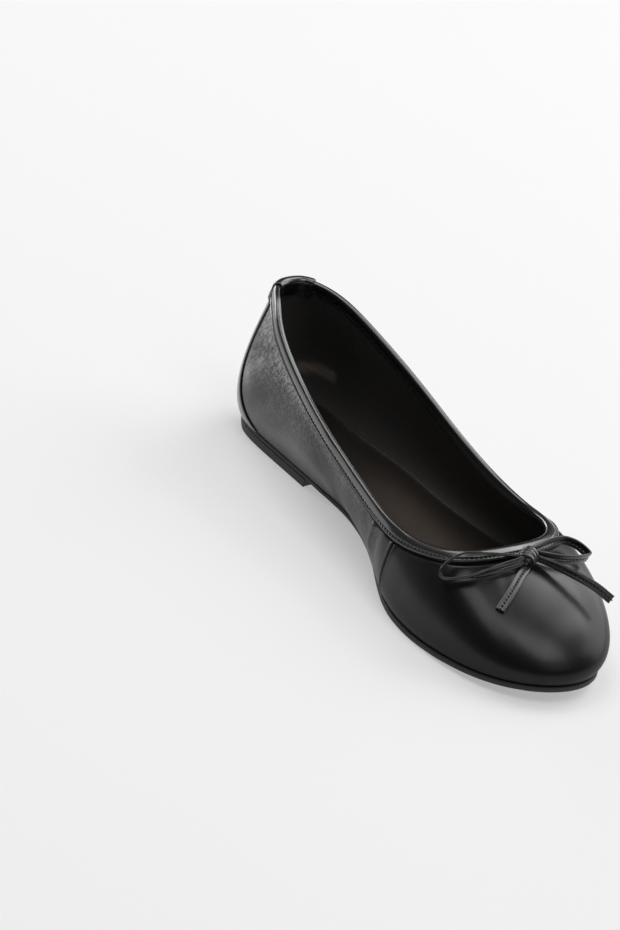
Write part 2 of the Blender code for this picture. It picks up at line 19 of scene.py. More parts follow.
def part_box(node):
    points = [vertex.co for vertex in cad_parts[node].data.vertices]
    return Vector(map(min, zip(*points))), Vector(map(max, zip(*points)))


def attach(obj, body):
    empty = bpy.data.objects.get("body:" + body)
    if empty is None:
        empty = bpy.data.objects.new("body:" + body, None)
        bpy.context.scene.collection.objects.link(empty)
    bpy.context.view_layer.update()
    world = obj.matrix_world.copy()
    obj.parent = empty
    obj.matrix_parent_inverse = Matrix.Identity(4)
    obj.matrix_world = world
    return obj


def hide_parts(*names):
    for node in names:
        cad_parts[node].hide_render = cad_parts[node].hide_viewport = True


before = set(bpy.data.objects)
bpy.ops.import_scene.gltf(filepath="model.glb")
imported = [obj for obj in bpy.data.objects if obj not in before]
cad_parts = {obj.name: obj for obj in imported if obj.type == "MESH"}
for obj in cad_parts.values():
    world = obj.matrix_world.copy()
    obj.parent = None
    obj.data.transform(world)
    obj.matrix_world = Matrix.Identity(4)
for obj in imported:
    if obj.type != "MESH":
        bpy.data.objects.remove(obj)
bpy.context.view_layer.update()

# %% [markdown]
# The shape of the shoe is the shape of its last. The last is described by ribs that run round
# it, from the foot line, where the leather meets the sole, up to the topline, where the shoe
# opens. A table with a row for each rib is easier to read and to correct than a sculpted mesh,
# and any point of the wall can be asked for, as finely as a piece needs it.

# %% Sizes of the last and of the materials, in metres
SOLE_LENGTH = 0.248
BALL_WIDTH = 0.084
WAIST_WIDTH = 0.053
SEAT_WIDTH = 0.049
MOUTH_WIDTH = 0.066
BACK_HEIGHT = 0.0717
THROAT_HEIGHT = 0.041

GAP = 0.0003
WALL = 0.0011
BINDING = 0.0005
BINDING_DEPTH = 0.0053
CREASE_DEPTH = 0.0060
STRIP = 0.0008
STRIP_TOP_WIDTH = 0.023
STRIP_WIDTH = 0.037
STRIP_FOOT_WIDTH = 0.080
STRIP_FLARE = 2.2
STRIP_RAMP = 0.0030
STRIP_END = 0.03
STRIP_TUCK = 0.0080
SOCK = 0.0016
SOLE = 0.0029
SOLE_WAIST = 0.0022
SOLE_PROUD = 0.0008
SEAT_PROUD = 0.0001
SOLE_WIDEN = 0.1
HEEL_HEIGHT = 0.0050
HEEL_TAPER = 0.0010
HEEL_HOLLOW = 0.0015
TOE_SPRING = 0.0060
BREAST = 0.265
FLAT_REAR = 0.585
FLAT_FRONT = 0.735
BOW_STRIP = 0.0042
BOW_THICK = 0.0011
BOW_REACH = 0.034
BOW_SET = 0.0086
KNOT_WIDTH = 0.0088

# %% The ribs of the last
# Along: share of the length from the back. Foot: share of half its width. Top: share of half the
# mouth's width. Lift: from the throat's height, 0, to the back's, 1. The last four say how the
# wall leaves the foot line and reaches the topline, as shares of the straight span.
Rib = namedtuple("Rib", "width foot_along foot top_along top lift "
                        "foot_out foot_up top_out top_down")
RIBS = [
    Rib(SEAT_WIDTH, 0.000, 0.00, 0.005, 0.02, 1.00, 0.15, 0.24, 0.06, 0.28),    # back seam
    Rib(SEAT_WIDTH, 0.018, -0.55, 0.018, -0.29, 1.00, 0.16, 0.23, 0.05, 0.28),  # inner heel turn
    Rib(SEAT_WIDTH, 0.075, -0.82, 0.066, -0.52, 0.95, 0.15, 0.22, 0.05, 0.28),
    Rib(SEAT_WIDTH, 0.195, -0.81, 0.132, -0.71, 0.70, 0.12, 0.25, 0.03, 0.28),  # counter
    Rib(WAIST_WIDTH, 0.320, -0.69, 0.250, -0.86, 0.36, 0.12, 0.27, 0.01, 0.28),
    Rib(WAIST_WIDTH, 0.420, -0.65, 0.370, -0.98, 0.14, 0.26, 0.26, 0.00, 0.27),  # arch
    Rib(BALL_WIDTH, 0.546, -0.63, 0.490, -1.03, -0.07, 0.25, 0.25, -0.01, 0.28),
    Rib(BALL_WIDTH, 0.680, -0.97, 0.609, -1.07, -0.18, 0.17, 0.23, 0.06, 0.15),  # ball
    Rib(BALL_WIDTH, 0.834, -0.94, 0.700, -0.94, -0.11, 0.09, 0.21, 0.15, 0.06),
    Rib(BALL_WIDTH, 0.945, -0.65, 0.757, -0.64, 0.03, 0.10, 0.20, 0.23, 0.10),
    Rib(BALL_WIDTH, 1.000, -0.15, 0.766, 0.03, 0.05, 0.12, 0.23, 0.32, 0.09),   # tip of the toe
    Rib(BALL_WIDTH, 0.977, 0.39, 0.745, 0.67, 0.00, 0.18, 0.25, 0.29, 0.05),
    Rib(BALL_WIDTH, 0.864, 0.81, 0.684, 1.00, -0.09, 0.19, 0.26, 0.19, 0.03),
    Rib(BALL_WIDTH, 0.710, 1.06, 0.602, 1.05, -0.13, 0.15, 0.24, 0.07, 0.17),   # outer ball
    Rib(BALL_WIDTH, 0.564, 0.99, 0.509, 0.97, -0.01, 0.22, 0.24, 0.01, 0.28),
    Rib(WAIST_WIDTH, 0.430, 1.27, 0.412, 0.88, 0.21, 0.24, 0.20, 0.03, 0.30),
    Rib(WAIST_WIDTH, 0.302, 1.12, 0.292, 0.80, 0.49, 0.16, 0.21, 0.02, 0.31),
    Rib(SEAT_WIDTH, 0.168, 1.01, 0.167, 0.65, 0.79, 0.12, 0.24, 0.02, 0.30),
    Rib(SEAT_WIDTH, 0.065, 0.92, 0.082, 0.49, 0.97, 0.14, 0.22, 0.03, 0.28),
    Rib(SEAT_WIDTH, 0.015, 0.57, 0.021, 0.29, 1.00, 0.16, 0.23, 0.05, 0.28),    # outer heel turn
]
TIP_RIB = 10.0


# %% From the ribs to a smooth surface
def ease(share):
    """Smooth step from 0 to 1."""
    share = np.clip(share, 0.0, 1.0)
    return share * share * (3.0 - 2.0 * share)


def hump(value, middle, width):
    """A soft bump of height 1 round the middle."""
    return np.exp(-((value - middle) / width) ** 2)


def unit(vectors):
    """The same directions, each one long."""
    return vectors / np.linalg.norm(vectors, axis=-1, keepdims=True)


def run_along(points):
    """How far each point of a line lies from its start, along the line."""
    steps = np.linalg.norm(np.diff(points, axis=0), axis=1)
    return np.concatenate([[0.0], np.cumsum(steps)])


def span(t, start, leave, end, arrive):
    """A smooth curve between two points, with a slope at each."""
    return ((2 * t ** 3 - 3 * t ** 2 + 1) * start + (t ** 3 - 2 * t ** 2 + t) * leave
            + (3 * t ** 2 - 2 * t ** 3) * end + (t ** 3 - t ** 2) * arrive)


class Loop:
    """A smooth closed curve through one point, or one vector, for each rib."""

    def __init__(self, points):
        self.points = np.asarray(points, float)
        own = np.eye(len(self.points))
        system = 4.0 * own + np.roll(own, 1, 0) + np.roll(own, -1, 0)
        pull = 3.0 * (np.roll(self.points, -1, 0) - np.roll(self.points, 1, 0))
        self.slopes = np.linalg.solve(system, pull)

    def at(self, rib):
        """Points at these places round the shoe, counted in ribs from the back."""
        rib = np.asarray(rib, float) % len(self.points)
        low = np.floor(rib).astype(int) % len(self.points)
        high = (low + 1) % len(self.points)
        return span((rib - np.floor(rib))[..., None], self.points[low], self.slopes[low],
                    self.points[high], self.slopes[high])

    def outward(self, rib):
        """Level direction that points away from the shoe."""
        step = self.at(np.asarray(rib) + 0.01) - self.at(np.asarray(rib) - 0.01)
        return unit(np.stack([step[..., 1], -step[..., 0], np.zeros_like(step[..., 0])], -1))


def sole_under(along):
    """Height of the sole's underside: on the heel, down the arch, flat, then the toe spring."""
    fall = ease((along - BREAST) / (FLAT_REAR - BREAST))
    spring = np.clip((along - FLAT_FRONT) / (1.0 - FLAT_FRONT), 0.0, None)
    return HEEL_HEIGHT * (1.0 - fall) + TOE_SPRING * spring ** 1.6


def sole_thick(along):
    return SOLE_WAIST + (SOLE - SOLE_WAIST) * ease((along - BREAST) / (FLAT_REAR - BREAST))


def sole_over(along):
    return sole_under(along) + sole_thick(along)


# %% [markdown]
# The ribs count from the middle of the foot line. The frame's origin is the middle of the whole
# shoe, so every point gets the same small shift, which is read from the outsole's box.

# %% Put the last in the frame
RAW_FOOT = Loop([(rib.foot * rib.width / 2, SOLE_LENGTH * (0.5 - rib.foot_along), 0.0)
                 for rib in RIBS])
COARSE = np.arange(80) / 4.0
RAW_EDGE = RAW_FOOT.at(COARSE) + RAW_FOOT.outward(COARSE) * (
    SEAT_PROUD + (SOLE_PROUD - SEAT_PROUD)
    * ease((0.5 - RAW_FOOT.at(COARSE)[:, 1] / SOLE_LENGTH - FLAT_REAR + SOLE_WIDEN)
           / SOLE_WIDEN)[:, None])
SOLE_LOW, SOLE_HIGH = (np.array(corner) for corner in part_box("outsole"))
SHIFT = (SOLE_LOW + SOLE_HIGH) / 2 - (RAW_EDGE.min(axis=0) + RAW_EDGE.max(axis=0)) / 2
SHIFT[2] = 0.0
print("shift of the last, mm", (SHIFT * 1000).round(3))


def place(along, x, z):
    """A point of the last in the frame, from its share of the length."""
    return (x + SHIFT[0], SOLE_LENGTH * (0.5 - along) + SHIFT[1], z)


def share_along(points):
    return 0.5 - (points[..., 1] - SHIFT[1]) / SOLE_LENGTH


FOOT = Loop([place(rib.foot_along, rib.foot * rib.width / 2, 0.0) for rib in RIBS])
TOP = Loop([place(rib.top_along, rib.top * MOUTH_WIDTH / 2,
                  THROAT_HEIGHT + rib.lift * (BACK_HEIGHT - THROAT_HEIGHT)) for rib in RIBS])


def foot_line(rib):
    """The lower edge of the upper, just clear of the sole."""
    points = FOOT.at(rib)
    points[..., 2] = sole_over(share_along(points)) + GAP
    return points


def handles():
    """Vectors that say how the wall leaves the foot line and reaches the topline."""
    ribs = np.arange(len(RIBS))
    far = np.linalg.norm(TOP.at(ribs) - foot_line(ribs), axis=1, keepdims=True)
    shares = np.array([[rib.foot_out, rib.foot_up, rib.top_out, rib.top_down] for rib in RIBS])
    up = np.array([0.0, 0.0, 1.0])
    leave = far * (shares[:, 0:1] * FOOT.outward(ribs) + shares[:, 1:2] * up)
    reach = far * (shares[:, 2:3] * TOP.outward(ribs) - shares[:, 3:4] * up)
    return Loop(leave), Loop(reach)


LEAVE, REACH = handles()


def wall(rib, climb):
    """A point of the upper's outside. Climb runs from 0 at the foot line to 1 at the topline."""
    t = np.asarray(climb, float)[..., None]
    foot = foot_line(rib)
    top = TOP.at(rib)
    return ((1 - t) ** 3 * foot + 3 * (1 - t) ** 2 * t * (foot + LEAVE.at(rib))
            + 3 * (1 - t) * t ** 2 * (top + REACH.at(rib)) + t ** 3 * top)


def wall_normal(rib, climb):
    """Direction square to the wall, outward."""
    rib = np.asarray(rib, float)
    climb = np.asarray(climb, float)
    rise = wall(rib, np.clip(climb + 0.005, 0, 1)) - wall(rib, np.clip(climb - 0.005, 0, 1))
    run = wall(rib + 0.01, climb) - wall(rib - 0.01, climb)
    return unit(np.cross(run, rise))


def off_wall(rib, climb, off):
    """A point this far off the wall, outward, or inward where it is less than nothing."""
    return wall(rib, climb) + wall_normal(rib, climb) * np.reshape(off, (-1, 1))


def rib_spacing(rib, climb):
    """How far apart two ribs would be here, in metres."""
    return np.linalg.norm(wall(rib + 0.01, climb) - wall(rib - 0.01, climb), axis=-1) / 0.02


FINE_CLIMB = np.linspace(1.0, 0.0, 121)


def depth_rows(rib):
    """How far down the wall each fine climb lies, a row for each rib."""
    points = wall(np.asarray(rib)[:, None] * np.ones(len(FINE_CLIMB)),
                  np.ones(len(rib))[:, None] * FINE_CLIMB)
    return np.array([run_along(row) for row in points])


def climb_below_top(rib, depth, rows=None):
    """The climb of points this far down the wall from the topline."""
    rows = depth_rows(rib) if rows is None else rows
    depth = np.broadcast_to(depth, len(rows))
    return np.array([np.interp(deep, row, FINE_CLIMB) for deep, row in zip(depth, rows)])


# %% [markdown]
# A grid with even faces takes folds and light better than one that bunches up at the toe. The
# places round the shoe are therefore spread by true distance, with extra ones beside the side
# seam, where the leather dips within a millimetre.

# %% Even places round the shoe
SEAM_FOOT = 6.62
SEAM_LEAN = 0.60


def seam_rib(climb):
    """Where the side seam runs: it leans a little towards the toe as it climbs."""
    return SEAM_FOOT + SEAM_LEAN * climb + 0.06 * climb ** 2


def even_ribs(count, crowded=()):
    """Places round the shoe, evenly spaced at mid height, crowded where (rib, spread, more)."""
    fine = np.linspace(0.0, len(RIBS), 4001)
    points = wall(fine, np.full(len(fine), 0.6))
    step = np.linalg.norm(np.diff(points, axis=0), axis=1)
    middle = (fine[1:] + fine[:-1]) / 2
    step = step * (1.0 + sum(more * hump(middle, rib, spread) for rib, spread, more in crowded))
    run = np.concatenate([[0.0], np.cumsum(step)])
    return np.interp(np.arange(count) / count * run[-1], run, fine)


UPPER_COLUMNS = 800
RIM_COLUMNS = 1400
UPPER_RIBS = even_ribs(UPPER_COLUMNS, [(6.93, 0.40, 3.0), (1.55, 0.35, 1.0), (18.45, 0.35, 1.0)])
RIM_RIBS = even_ribs(RIM_COLUMNS)
print("faces round the upper", UPPER_COLUMNS, "and round the binding", RIM_COLUMNS)


# %% Helpers that turn rings of points into a mesh
def grid_faces(rings, count, ring_closed, around_closed=True):
    """Quads between neighbouring rings of points."""
    ring = np.arange(rings if ring_closed else rings - 1)
    point = np.arange(count if around_closed else count - 1)
    here = ring[:, None] * count
    there = ((ring + 1) % rings)[:, None] * count
    following = (point + 1) % count
    quads = np.stack([here + point, here + following, there + following, there + point], -1)
    return quads.reshape(-1, 4)


def end_caps(rings, count):
    """One face across the first ring and one across the last."""
    last = (rings - 1) * count
    return [list(range(count)), list(range(last, last + count))]


def add_object(name, data):
    """An object at the origin, in the scene."""
    made = bpy.data.objects.new(name, data)
    bpy.context.scene.collection.objects.link(made)
    return made


def turn_outward(mesh, merge=None):
    """Faces turned to the outside, after points closer than merge are joined."""
    work = bmesh.new()
    work.from_mesh(mesh)
    if merge:
        bmesh.ops.remove_doubles(work, verts=work.verts, dist=merge)
    bmesh.ops.recalc_face_normals(work, faces=work.faces)
    work.to_mesh(mesh)
    work.free()


def build(name, points, faces, material, crisp=None, slots=None, outward=True):
    """A smooth mesh object, crisp where its faces meet at more than so many degrees."""
    mesh = bpy.data.meshes.new(name)
    mesh.from_pydata(np.asarray(points, float).reshape(-1, 3).tolist(), [],
                     [list(map(int, face)) for face in faces])
    for finish in material if slots is not None else [material]:
        mesh.materials.append(finish)
    if slots is not None:
        mesh.polygons.foreach_set("material_index", np.asarray(slots, dtype=np.int32))
    if outward:
        turn_outward(mesh)
    mesh.shade_smooth()
    if crisp:
        mesh.set_sharp_from_angle(angle=math.radians(crisp))
    return add_object(name, mesh)


def seat(piece, slot, *nodes):
    """The piece rides on the shoe and stands for these nodes. Its slot is not used."""
    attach(piece, "root")
    if nodes:
        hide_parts(*nodes)
    print(piece.name, "made with", len(piece.data.polygons), "faces")
    return piece


def add_values(piece, name, values):
    """A value for each point of the mesh, which the materials can read."""
    held = piece.data.attributes.new(name, "FLOAT", "POINT")
    held.data.foreach_set("value", np.asarray(values, dtype=np.float32).ravel())


# %% [markdown]
# The camera stands where the photograph's stood: above the toe and to its inner side, a good
# way off, with its horizon rolled by some thirteen degrees. It was found by matching the
# outlines of the shoe, and the shoe itself stays flat on the floor.

# %% The camera
VIEW_TURN = math.radians(40.14)
VIEW_PITCH = math.radians(29.35)
VIEW_ROLL = math.radians(12.93)
VIEW_DISTANCE = 1.699
VIEW_OFFSET = (0.0511, -0.0553)
FRAME_HEIGHT = 930.0
FOCAL_PIXELS = 3663.0
SENSOR = 36.0


def photo_camera():
    """A camera with the photograph's place, direction, roll and field of view."""
    forward = Vector((0.0, math.cos(VIEW_PITCH), -math.sin(VIEW_PITCH)))
    across = Vector((1.0, 0.0, 0.0))
    above = Vector((0.0, math.sin(VIEW_PITCH), math.cos(VIEW_PITCH)))
    right = math.cos(VIEW_ROLL) * across + math.sin(VIEW_ROLL) * above
    top = -math.sin(VIEW_ROLL) * across + math.cos(VIEW_ROLL) * above
    turn_back = Matrix.Rotation(-VIEW_TURN, 3, "Z")
    spot = -forward * VIEW_DISTANCE - Vector((*VIEW_OFFSET, 0.0))
    spot = turn_back @ spot + Vector(SHIFT.tolist())
    axes = Matrix([turn_back @ right, turn_back @ top, turn_back @ -forward]).transposed()
    lens = bpy.data.cameras.new("camera")
    lens.sensor_fit = "VERTICAL"
    lens.sensor_height = SENSOR
    lens.lens = FOCAL_PIXELS * SENSOR / FRAME_HEIGHT
    lens.clip_start = 0.05
    lens.clip_end = 60.0
    camera = add_object("camera", lens)
    camera.matrix_world = Matrix.Translation(spot) @ axes.to_4x4()
    bpy.context.scene.camera = camera
    print("camera at", tuple(round(value, 3) for value in spot))


photo_camera()

# %% [markdown]
# Dyed calf leather is nearly black, but not flat. It has a fine pebbled grain, tiny wrinkles
# where it bends, and a thin finish that lifts the light. Several pieces share that grain, so it
# is one shader group: cells for the pebbles, fine noise for the pores and stretched noise for
# the wrinkles, added up as one height, with a mask that lets each piece calm it down.

# %% The shared leather grain
def socket(tree, name, kind, into, value=None):
    made = tree.interface.new_socket(name=name, in_out=into, socket_type=kind)
    if value is not None:
        made.default_value = value
    return made


def feed(tree, source, target):
    """Gives an input a plain value, a socket, or the first output of a node."""
    if isinstance(source, bpy.types.Node):
        source = source.outputs[0]
    if isinstance(source, bpy.types.NodeSocket):
        tree.links.new(source, target)
    else:
        target.default_value = source


def node(tree, kind, **settings):
    """A node with its settings, in small letters, and then its inputs, in capitals."""
    made = tree.nodes.new(kind)
    for key, value in settings.items():
        if hasattr(made, key):
            setattr(made, key, value)
        else:
            feed(tree, value, made.inputs[key.replace("_", " ")])
    return made


def sums(tree):
    """Plus, minus and times for one tree, fed by sockets, nodes or plain numbers."""
    def work(operation, first, second, clamp=False):
        made = node(tree, "ShaderNodeMath", operation=operation, use_clamp=clamp)
        feed(tree, first, made.inputs[0])
        feed(tree, second, made.inputs[1])
        return made
    return (partial(work, "ADD"), partial(work, "SUBTRACT"), partial(work, "MULTIPLY"))


def new_material(name):
    """A new material with its tree and its shader."""
    made = bpy.data.materials.new(name)
    made.use_nodes = True
    return made, made.node_tree, made.node_tree.nodes["Principled BSDF"]


def leather_grain_group():
    """Height, tone, polish and creases of fine leather, from a point and three strengths."""
    tree = bpy.data.node_groups.new("leather_grain", "ShaderNodeTree")
    socket(tree, "Point", "NodeSocketVector", "INPUT")
    for name, value in (("Pebble size", 0.7), ("Pebbles", 1.0), ("Wrinkles", 1.0)):
        socket(tree, name, "NodeSocketFloat", "INPUT", value)
    for name in ("Height", "Tone", "Polish", "Creases"):
        socket(tree, name, "NodeSocketFloat", "OUTPUT")
    given = tree.nodes.new("NodeGroupInput").outputs
    plus, minus, times = sums(tree)

    def noise(scale, detail, rough, point=given["Point"], distortion=0.0):
        return node(tree, "ShaderNodeTexNoise", Scale=scale, Detail=detail, Roughness=rough,
                    Distortion=distortion, Vector=point)

    per_size = node(tree, "ShaderNodeMath", operation="DIVIDE")
    per_size.inputs[0].default_value = 1000.0
    feed(tree, given["Pebble size"], per_size.inputs[1])
    swayed = node(tree, "ShaderNodeVectorMath", operation="MULTIPLY_ADD")
    sway = (noise(260.0, 2.0, 0.5).outputs["Color"], (0.0009, 0.0009, 0.0009), given["Point"])
    for source, target in zip(sway, swayed.inputs):
        feed(tree, source, target)
    cells = node(tree, "ShaderNodeTexVoronoi", feature="SMOOTH_F1", Smoothness=0.35,
                 Vector=swayed, Scale=per_size)
    pores = noise(3400.0, 3.0, 0.6)
    pebble = times(plus(times(cells, -0.8), times(pores, 0.5)), given["Pebbles"])

    stretch = node(tree, "ShaderNodeMapping", vector_type="TEXTURE", Vector=given["Point"],
                   Scale=(0.0026, 0.0014, 0.0040), Rotation=(0.45, 0.0, 0.2))
    ridge = node(tree, "ShaderNodeMath", operation="ABSOLUTE")
    feed(tree, minus(noise(1.0, 1.6, 0.45, stretch, 0.6), 0.5), ridge.inputs[0])
    rolls = noise(150.0, 2.0, 0.5)
    wrinkle = times(plus(times(ridge, 3.0), times(rolls, 0.5)), given["Wrinkles"])
    blend = plus(times(noise(130.0, 3.0, 0.5), 0.6), times(pores, 0.4))
    node(tree, "NodeGroupOutput", Height=plus(pebble, wrinkle), Tone=noise(42.0, 4.0, 0.6),
         Polish=blend, Creases=plus(times(ridge, -9.0), 1.0, clamp=True))
    return tree


LEATHER_GRAIN = leather_grain_group()


# %% Leather finishes made from the grain
def leather(name, dark, light, rough, rough_swing, pebble, pebbles, wrinkles,
            bump=0.00010, coat=0.0, coat_rough=0.3, coat_ior=1.5, shine_level=0.5,
            masked=False, painted_light=None):
    """Black leather. Its tone and polish wander a little, and its grain is a bump.

    Where it is masked, the piece's own values calm the grain and thin the clear finish, and where
    a painted light colour is given they blend the base colour towards it.
    """
    made, tree, shader = new_material(name)
    plus, minus, times = sums(tree)
    if masked:
        calm, clear = (node(tree, "ShaderNodeAttribute", attribute_name=value).outputs["Fac"]
                       for value in ("grain", "finish"))
        wrinkles = times(calm, wrinkles)
        pebbles = plus(times(calm, pebbles * 0.8), pebbles * 0.2)
    where = tree.nodes.new("ShaderNodeTexCoord").outputs["Object"]
    grain = node(tree, "ShaderNodeGroup", node_tree=LEATHER_GRAIN, Point=where,
                 Pebble_size=pebble, Pebbles=pebbles, Wrinkles=wrinkles).outputs
    colour = node(tree, "ShaderNodeMix", data_type="RGBA", A=(*dark, 1.0), B=(*light, 1.0),
                  Factor=grain["Tone"]).outputs["Result"]
    # Painted light: where the piece's finish values are high, the base colour is blended towards
    # a lighter colour that stands in for a highlight or a pool of light.
    if painted_light:
        colour = node(tree, "ShaderNodeMix", data_type="RGBA", A=colour, B=(*painted_light, 1.0),
                      Factor=clear).outputs["Result"]
    height = node(tree, "ShaderNodeBump", Strength=1.0, Distance=bump, Height=grain["Height"])
    polish = plus(times(minus(grain["Polish"], 0.5), rough_swing), rough, clamp=True)
    if masked:
        uneven = plus(plus(times(grain["Tone"], 0.9), times(grain["Polish"], 0.6)), 0.3)
        dulled = minus(1.15, times(times(grain["Creases"], calm), 0.90))
        coat = times(clear, times(uneven, dulled), clamp=True)
    for entry, value in (("Base Color", colour), ("Roughness", polish), ("Normal", height),
                         ("Specular IOR Level", shine_level), ("Coat Weight", coat),
                         ("Coat IOR", coat_ior), ("Coat Roughness", coat_rough)):
        feed(tree, value, shader.inputs[entry])
    return made


UPPER_LEATHER = leather("calf_leather", (0.0030, 0.0029, 0.0028), (0.0060, 0.0057, 0.0053),
                        rough=0.46, rough_swing=0.16, pebble=0.75, pebbles=0.9, wrinkles=3.6,
                        coat_rough=0.27, coat_ior=2.5, shine_level=0.15, masked=True)
BINDING_LEATHER = leather("binding_calf", (0.0036, 0.0035, 0.0034), (0.0072, 0.0069, 0.0064),
                          rough=0.42, rough_swing=0.16, pebble=0.6, pebbles=0.3, wrinkles=0.35,
                          coat=0.85, coat_rough=0.18, coat_ior=1.85, shine_level=0.4)
BOW_LEATHER = leather("tape_calf", (0.0045, 0.0044, 0.0041), (0.0090, 0.0086, 0.0080),
                      rough=0.46, rough_swing=0.2, pebble=0.5, pebbles=0.5, wrinkles=0.6,
                      bump=0.00008, coat=0.8, coat_rough=0.28, coat_ior=1.7,
                      shine_level=0.5)
# The lining and the sock carry painted light in their base colour: a painted highlight on the
# lining at the heel and a painted pool of light on the sock.
LINING_LEATHER = leather("black_lining", (0.0500, 0.0480, 0.0465), (0.0800, 0.0768, 0.0740),
                         rough=0.66, rough_swing=0.15, pebble=0.8, pebbles=1.0, wrinkles=1.6,
                         coat_rough=0.28, coat_ior=1.8, masked=True,
                         painted_light=(0.42, 0.34, 0.28))
SOCK_LEATHER = leather("satin_sock", (0.0085, 0.0068, 0.0059), (0.0160, 0.0128, 0.0108),
                       rough=0.42, rough_swing=0.25, pebble=0.6, pebbles=0.4, wrinkles=2.2,
                       coat_rough=0.26, masked=True, painted_light=(0.0850, 0.0640, 0.0490))
SOLE_LEATHER = leather("dyed_sole", (0.0070, 0.0067, 0.0064), (0.0140, 0.0134, 0.0128),
                       rough=0.58, rough_swing=0.2, pebble=0.45, pebbles=1.0, wrinkles=0.5)


def thread(name, colour, rough):
    """Waxed black thread, which stays plain at this size."""
    made, tree, shader = new_material(name)
    where = tree.nodes.new("ShaderNodeTexCoord").outputs["Object"]
    twist = node(tree, "ShaderNodeTexNoise", Scale=2600.0, Detail=2.0, Vector=where)
    lift = node(tree, "ShaderNodeBump", Distance=0.00005, Height=twist)
    for entry, value in (("Base Color", (*colour, 1.0)), ("Roughness", rough),
                         ("Normal", lift)):
        feed(tree, value, shader.inputs[entry])
    return made


THREAD = thread("black_thread", (0.003, 0.003, 0.003), 0.7)
print("finishes:", [finish.name for finish in bpy.data.materials])

# %% [markdown]
# A lasted upper is never a perfect shell. There is a seam on the inner side where vamp and
# quarter join, small pleats behind it where the leather is pulled round the waist, and shallow
# hollows where a hand has pressed. Each is a soft trough or ridge along a few points on the
# wall, with a width and a height in millimetres, so the light finds it from every
# side.

# %% Folds of the upper
Fold = namedtuple("Fold", "width height points")
FOLDS = [
    Fold(2.1, 0.70, [(6.62, 0.97), (6.54, 0.80), (6.46, 0.64), (6.38, 0.50), (6.34, 0.34)]),
    Fold(2.0, -0.55, [(6.84, 0.97), (6.73, 0.78), (6.63, 0.62), (6.54, 0.48), (6.50, 0.38)]),
    Fold(2.6, -0.30, [(6.42, 0.97), (6.30, 0.76), (6.22, 0.58)]),
    Fold(0.9, 0.16, [(6.95, 0.94), (6.87, 0.84), (6.82, 0.77)]),
    Fold(0.8, 0.14, [(7.06, 0.94), (7.00, 0.86), (6.96, 0.81)]),
    Fold(9.0, -0.70, [(4.10, 0.80), (4.60, 0.68), (5.10, 0.62)]),
    Fold(4.5, 0.60, [(1.75, 0.70), (2.10, 0.73), (2.50, 0.76), (2.85, 0.83)]),
    Fold(4.0, -0.65, [(1.70, 0.58), (2.00, 0.57), (2.50, 0.66), (2.85, 0.74)]),
    Fold(4.5, 0.65, [(1.80, 0.42), (2.10, 0.45), (2.75, 0.60), (3.30, 0.66)]),
    Fold(5.0, -0.60, [(2.10, 0.30), (2.60, 0.42), (3.10, 0.50), (3.60, 0.55)]),
    Fold(7.0, 0.35, [(3.20, 0.35), (4.10, 0.30), (4.80, 0.36)]),
    Fold(7.0, -0.35, [(5.50, 0.30), (6.00, 0.45)]),
    Fold(2.0, 0.35, [(13.35, 0.92), (13.50, 0.72), (13.62, 0.50), (13.66, 0.30)]),
    Fold(1.8, -0.30, [(13.20, 0.90), (13.34, 0.70), (13.46, 0.50)]),
    Fold(8.0, -0.50, [(15.00, 0.75), (15.80, 0.62), (16.60, 0.60)]),
    Fold(7.0, 0.35, [(16.20, 0.30), (17.20, 0.36)]),
    Fold(3.0, -0.22, [(9.55, 0.84), (9.40, 0.66)]),
    Fold(3.5, -0.18, [(10.30, 0.80), (10.60, 0.58)]),
]


def distance_to_path(points, path):
    """How far each point lies from a bent line, and how far along that line, from 0 to 1."""
    best = np.full(points.shape[:-1], 1e9)
    where = np.zeros(points.shape[:-1])
    ends = run_along(path)
    ends = ends / ends[-1]
    for index, (start, end) in enumerate(zip(path[:-1], path[1:])):
        step = end - start
        t = np.clip(((points - start) @ step) / (step @ step), 0.0, 1.0)
        far = np.linalg.norm(points - start - t[..., None] * step, axis=-1)
        closer = far < best
        best = np.where(closer, far, best)
        where = np.where(closer, ends[index] + t * (ends[index + 1] - ends[index]), where)
    return best, where


def fold_height(points):
    """What the folds add to the wall at these points, in metres."""
    total = np.zeros(points.shape[:-1])
    for fold in FOLDS:
        rows = np.array(fold.points)
        steps = np.linspace(0.0, len(rows) - 1, 8 * (len(rows) - 1) + 1)
        ribs = np.interp(steps, np.arange(len(rows)), rows[:, 0])
        climbs = np.interp(steps, np.arange(len(rows)), rows[:, 1])
        far, share = distance_to_path(points, wall(ribs, climbs))
        fade = ease(share / 0.3 + 0.15) * ease((1.0 - share) / 0.3 + 0.15)
        total += fold.height / 1000 * fade * np.exp(-(far / (fold.width / 1000)) ** 2)
    return total


def off_seam(rib, climb):
    """How far a place lies in front of the side seam, in millimetres."""
    return (rib - seam_rib(climb)) * rib_spacing(rib, climb) * 1000


def seam_height(rib, climb):
    """The side seam: a narrow pinched groove that gapes towards the foot, with soft lips."""
    off = off_seam(rib, climb)
    gape = 1.0 - ease((climb - 0.25) / 0.5)
    groove = -(0.95 + 0.45 * gape) * np.exp(-(off / (0.45 + 0.22 * gape)) ** 2)
    lips = 0.18 * np.exp(-((np.abs(off) - 1.3) / 0.9) ** 2)
    lap = 0.20 * ease((off + 0.8) / 1.6) * np.exp(-np.clip(off, 0, None) / 7.0)
    return (groove + lips + lap) / 1000


LOW_CLIMB = float(climb_below_top(np.zeros(1), BINDING_DEPTH + STRIP_RAMP)[0])


def strip_width(climb):
    """Across the strip at the back: narrow over the topline, flared towards the sole."""
    full = STRIP_WIDTH + (STRIP_FOOT_WIDTH - STRIP_WIDTH) * (1.0 - climb) ** STRIP_FLARE
    return STRIP_TOP_WIDTH + (full - STRIP_TOP_WIDTH) * ease((1.0 - climb) / (1.0 - LOW_CLIMB))


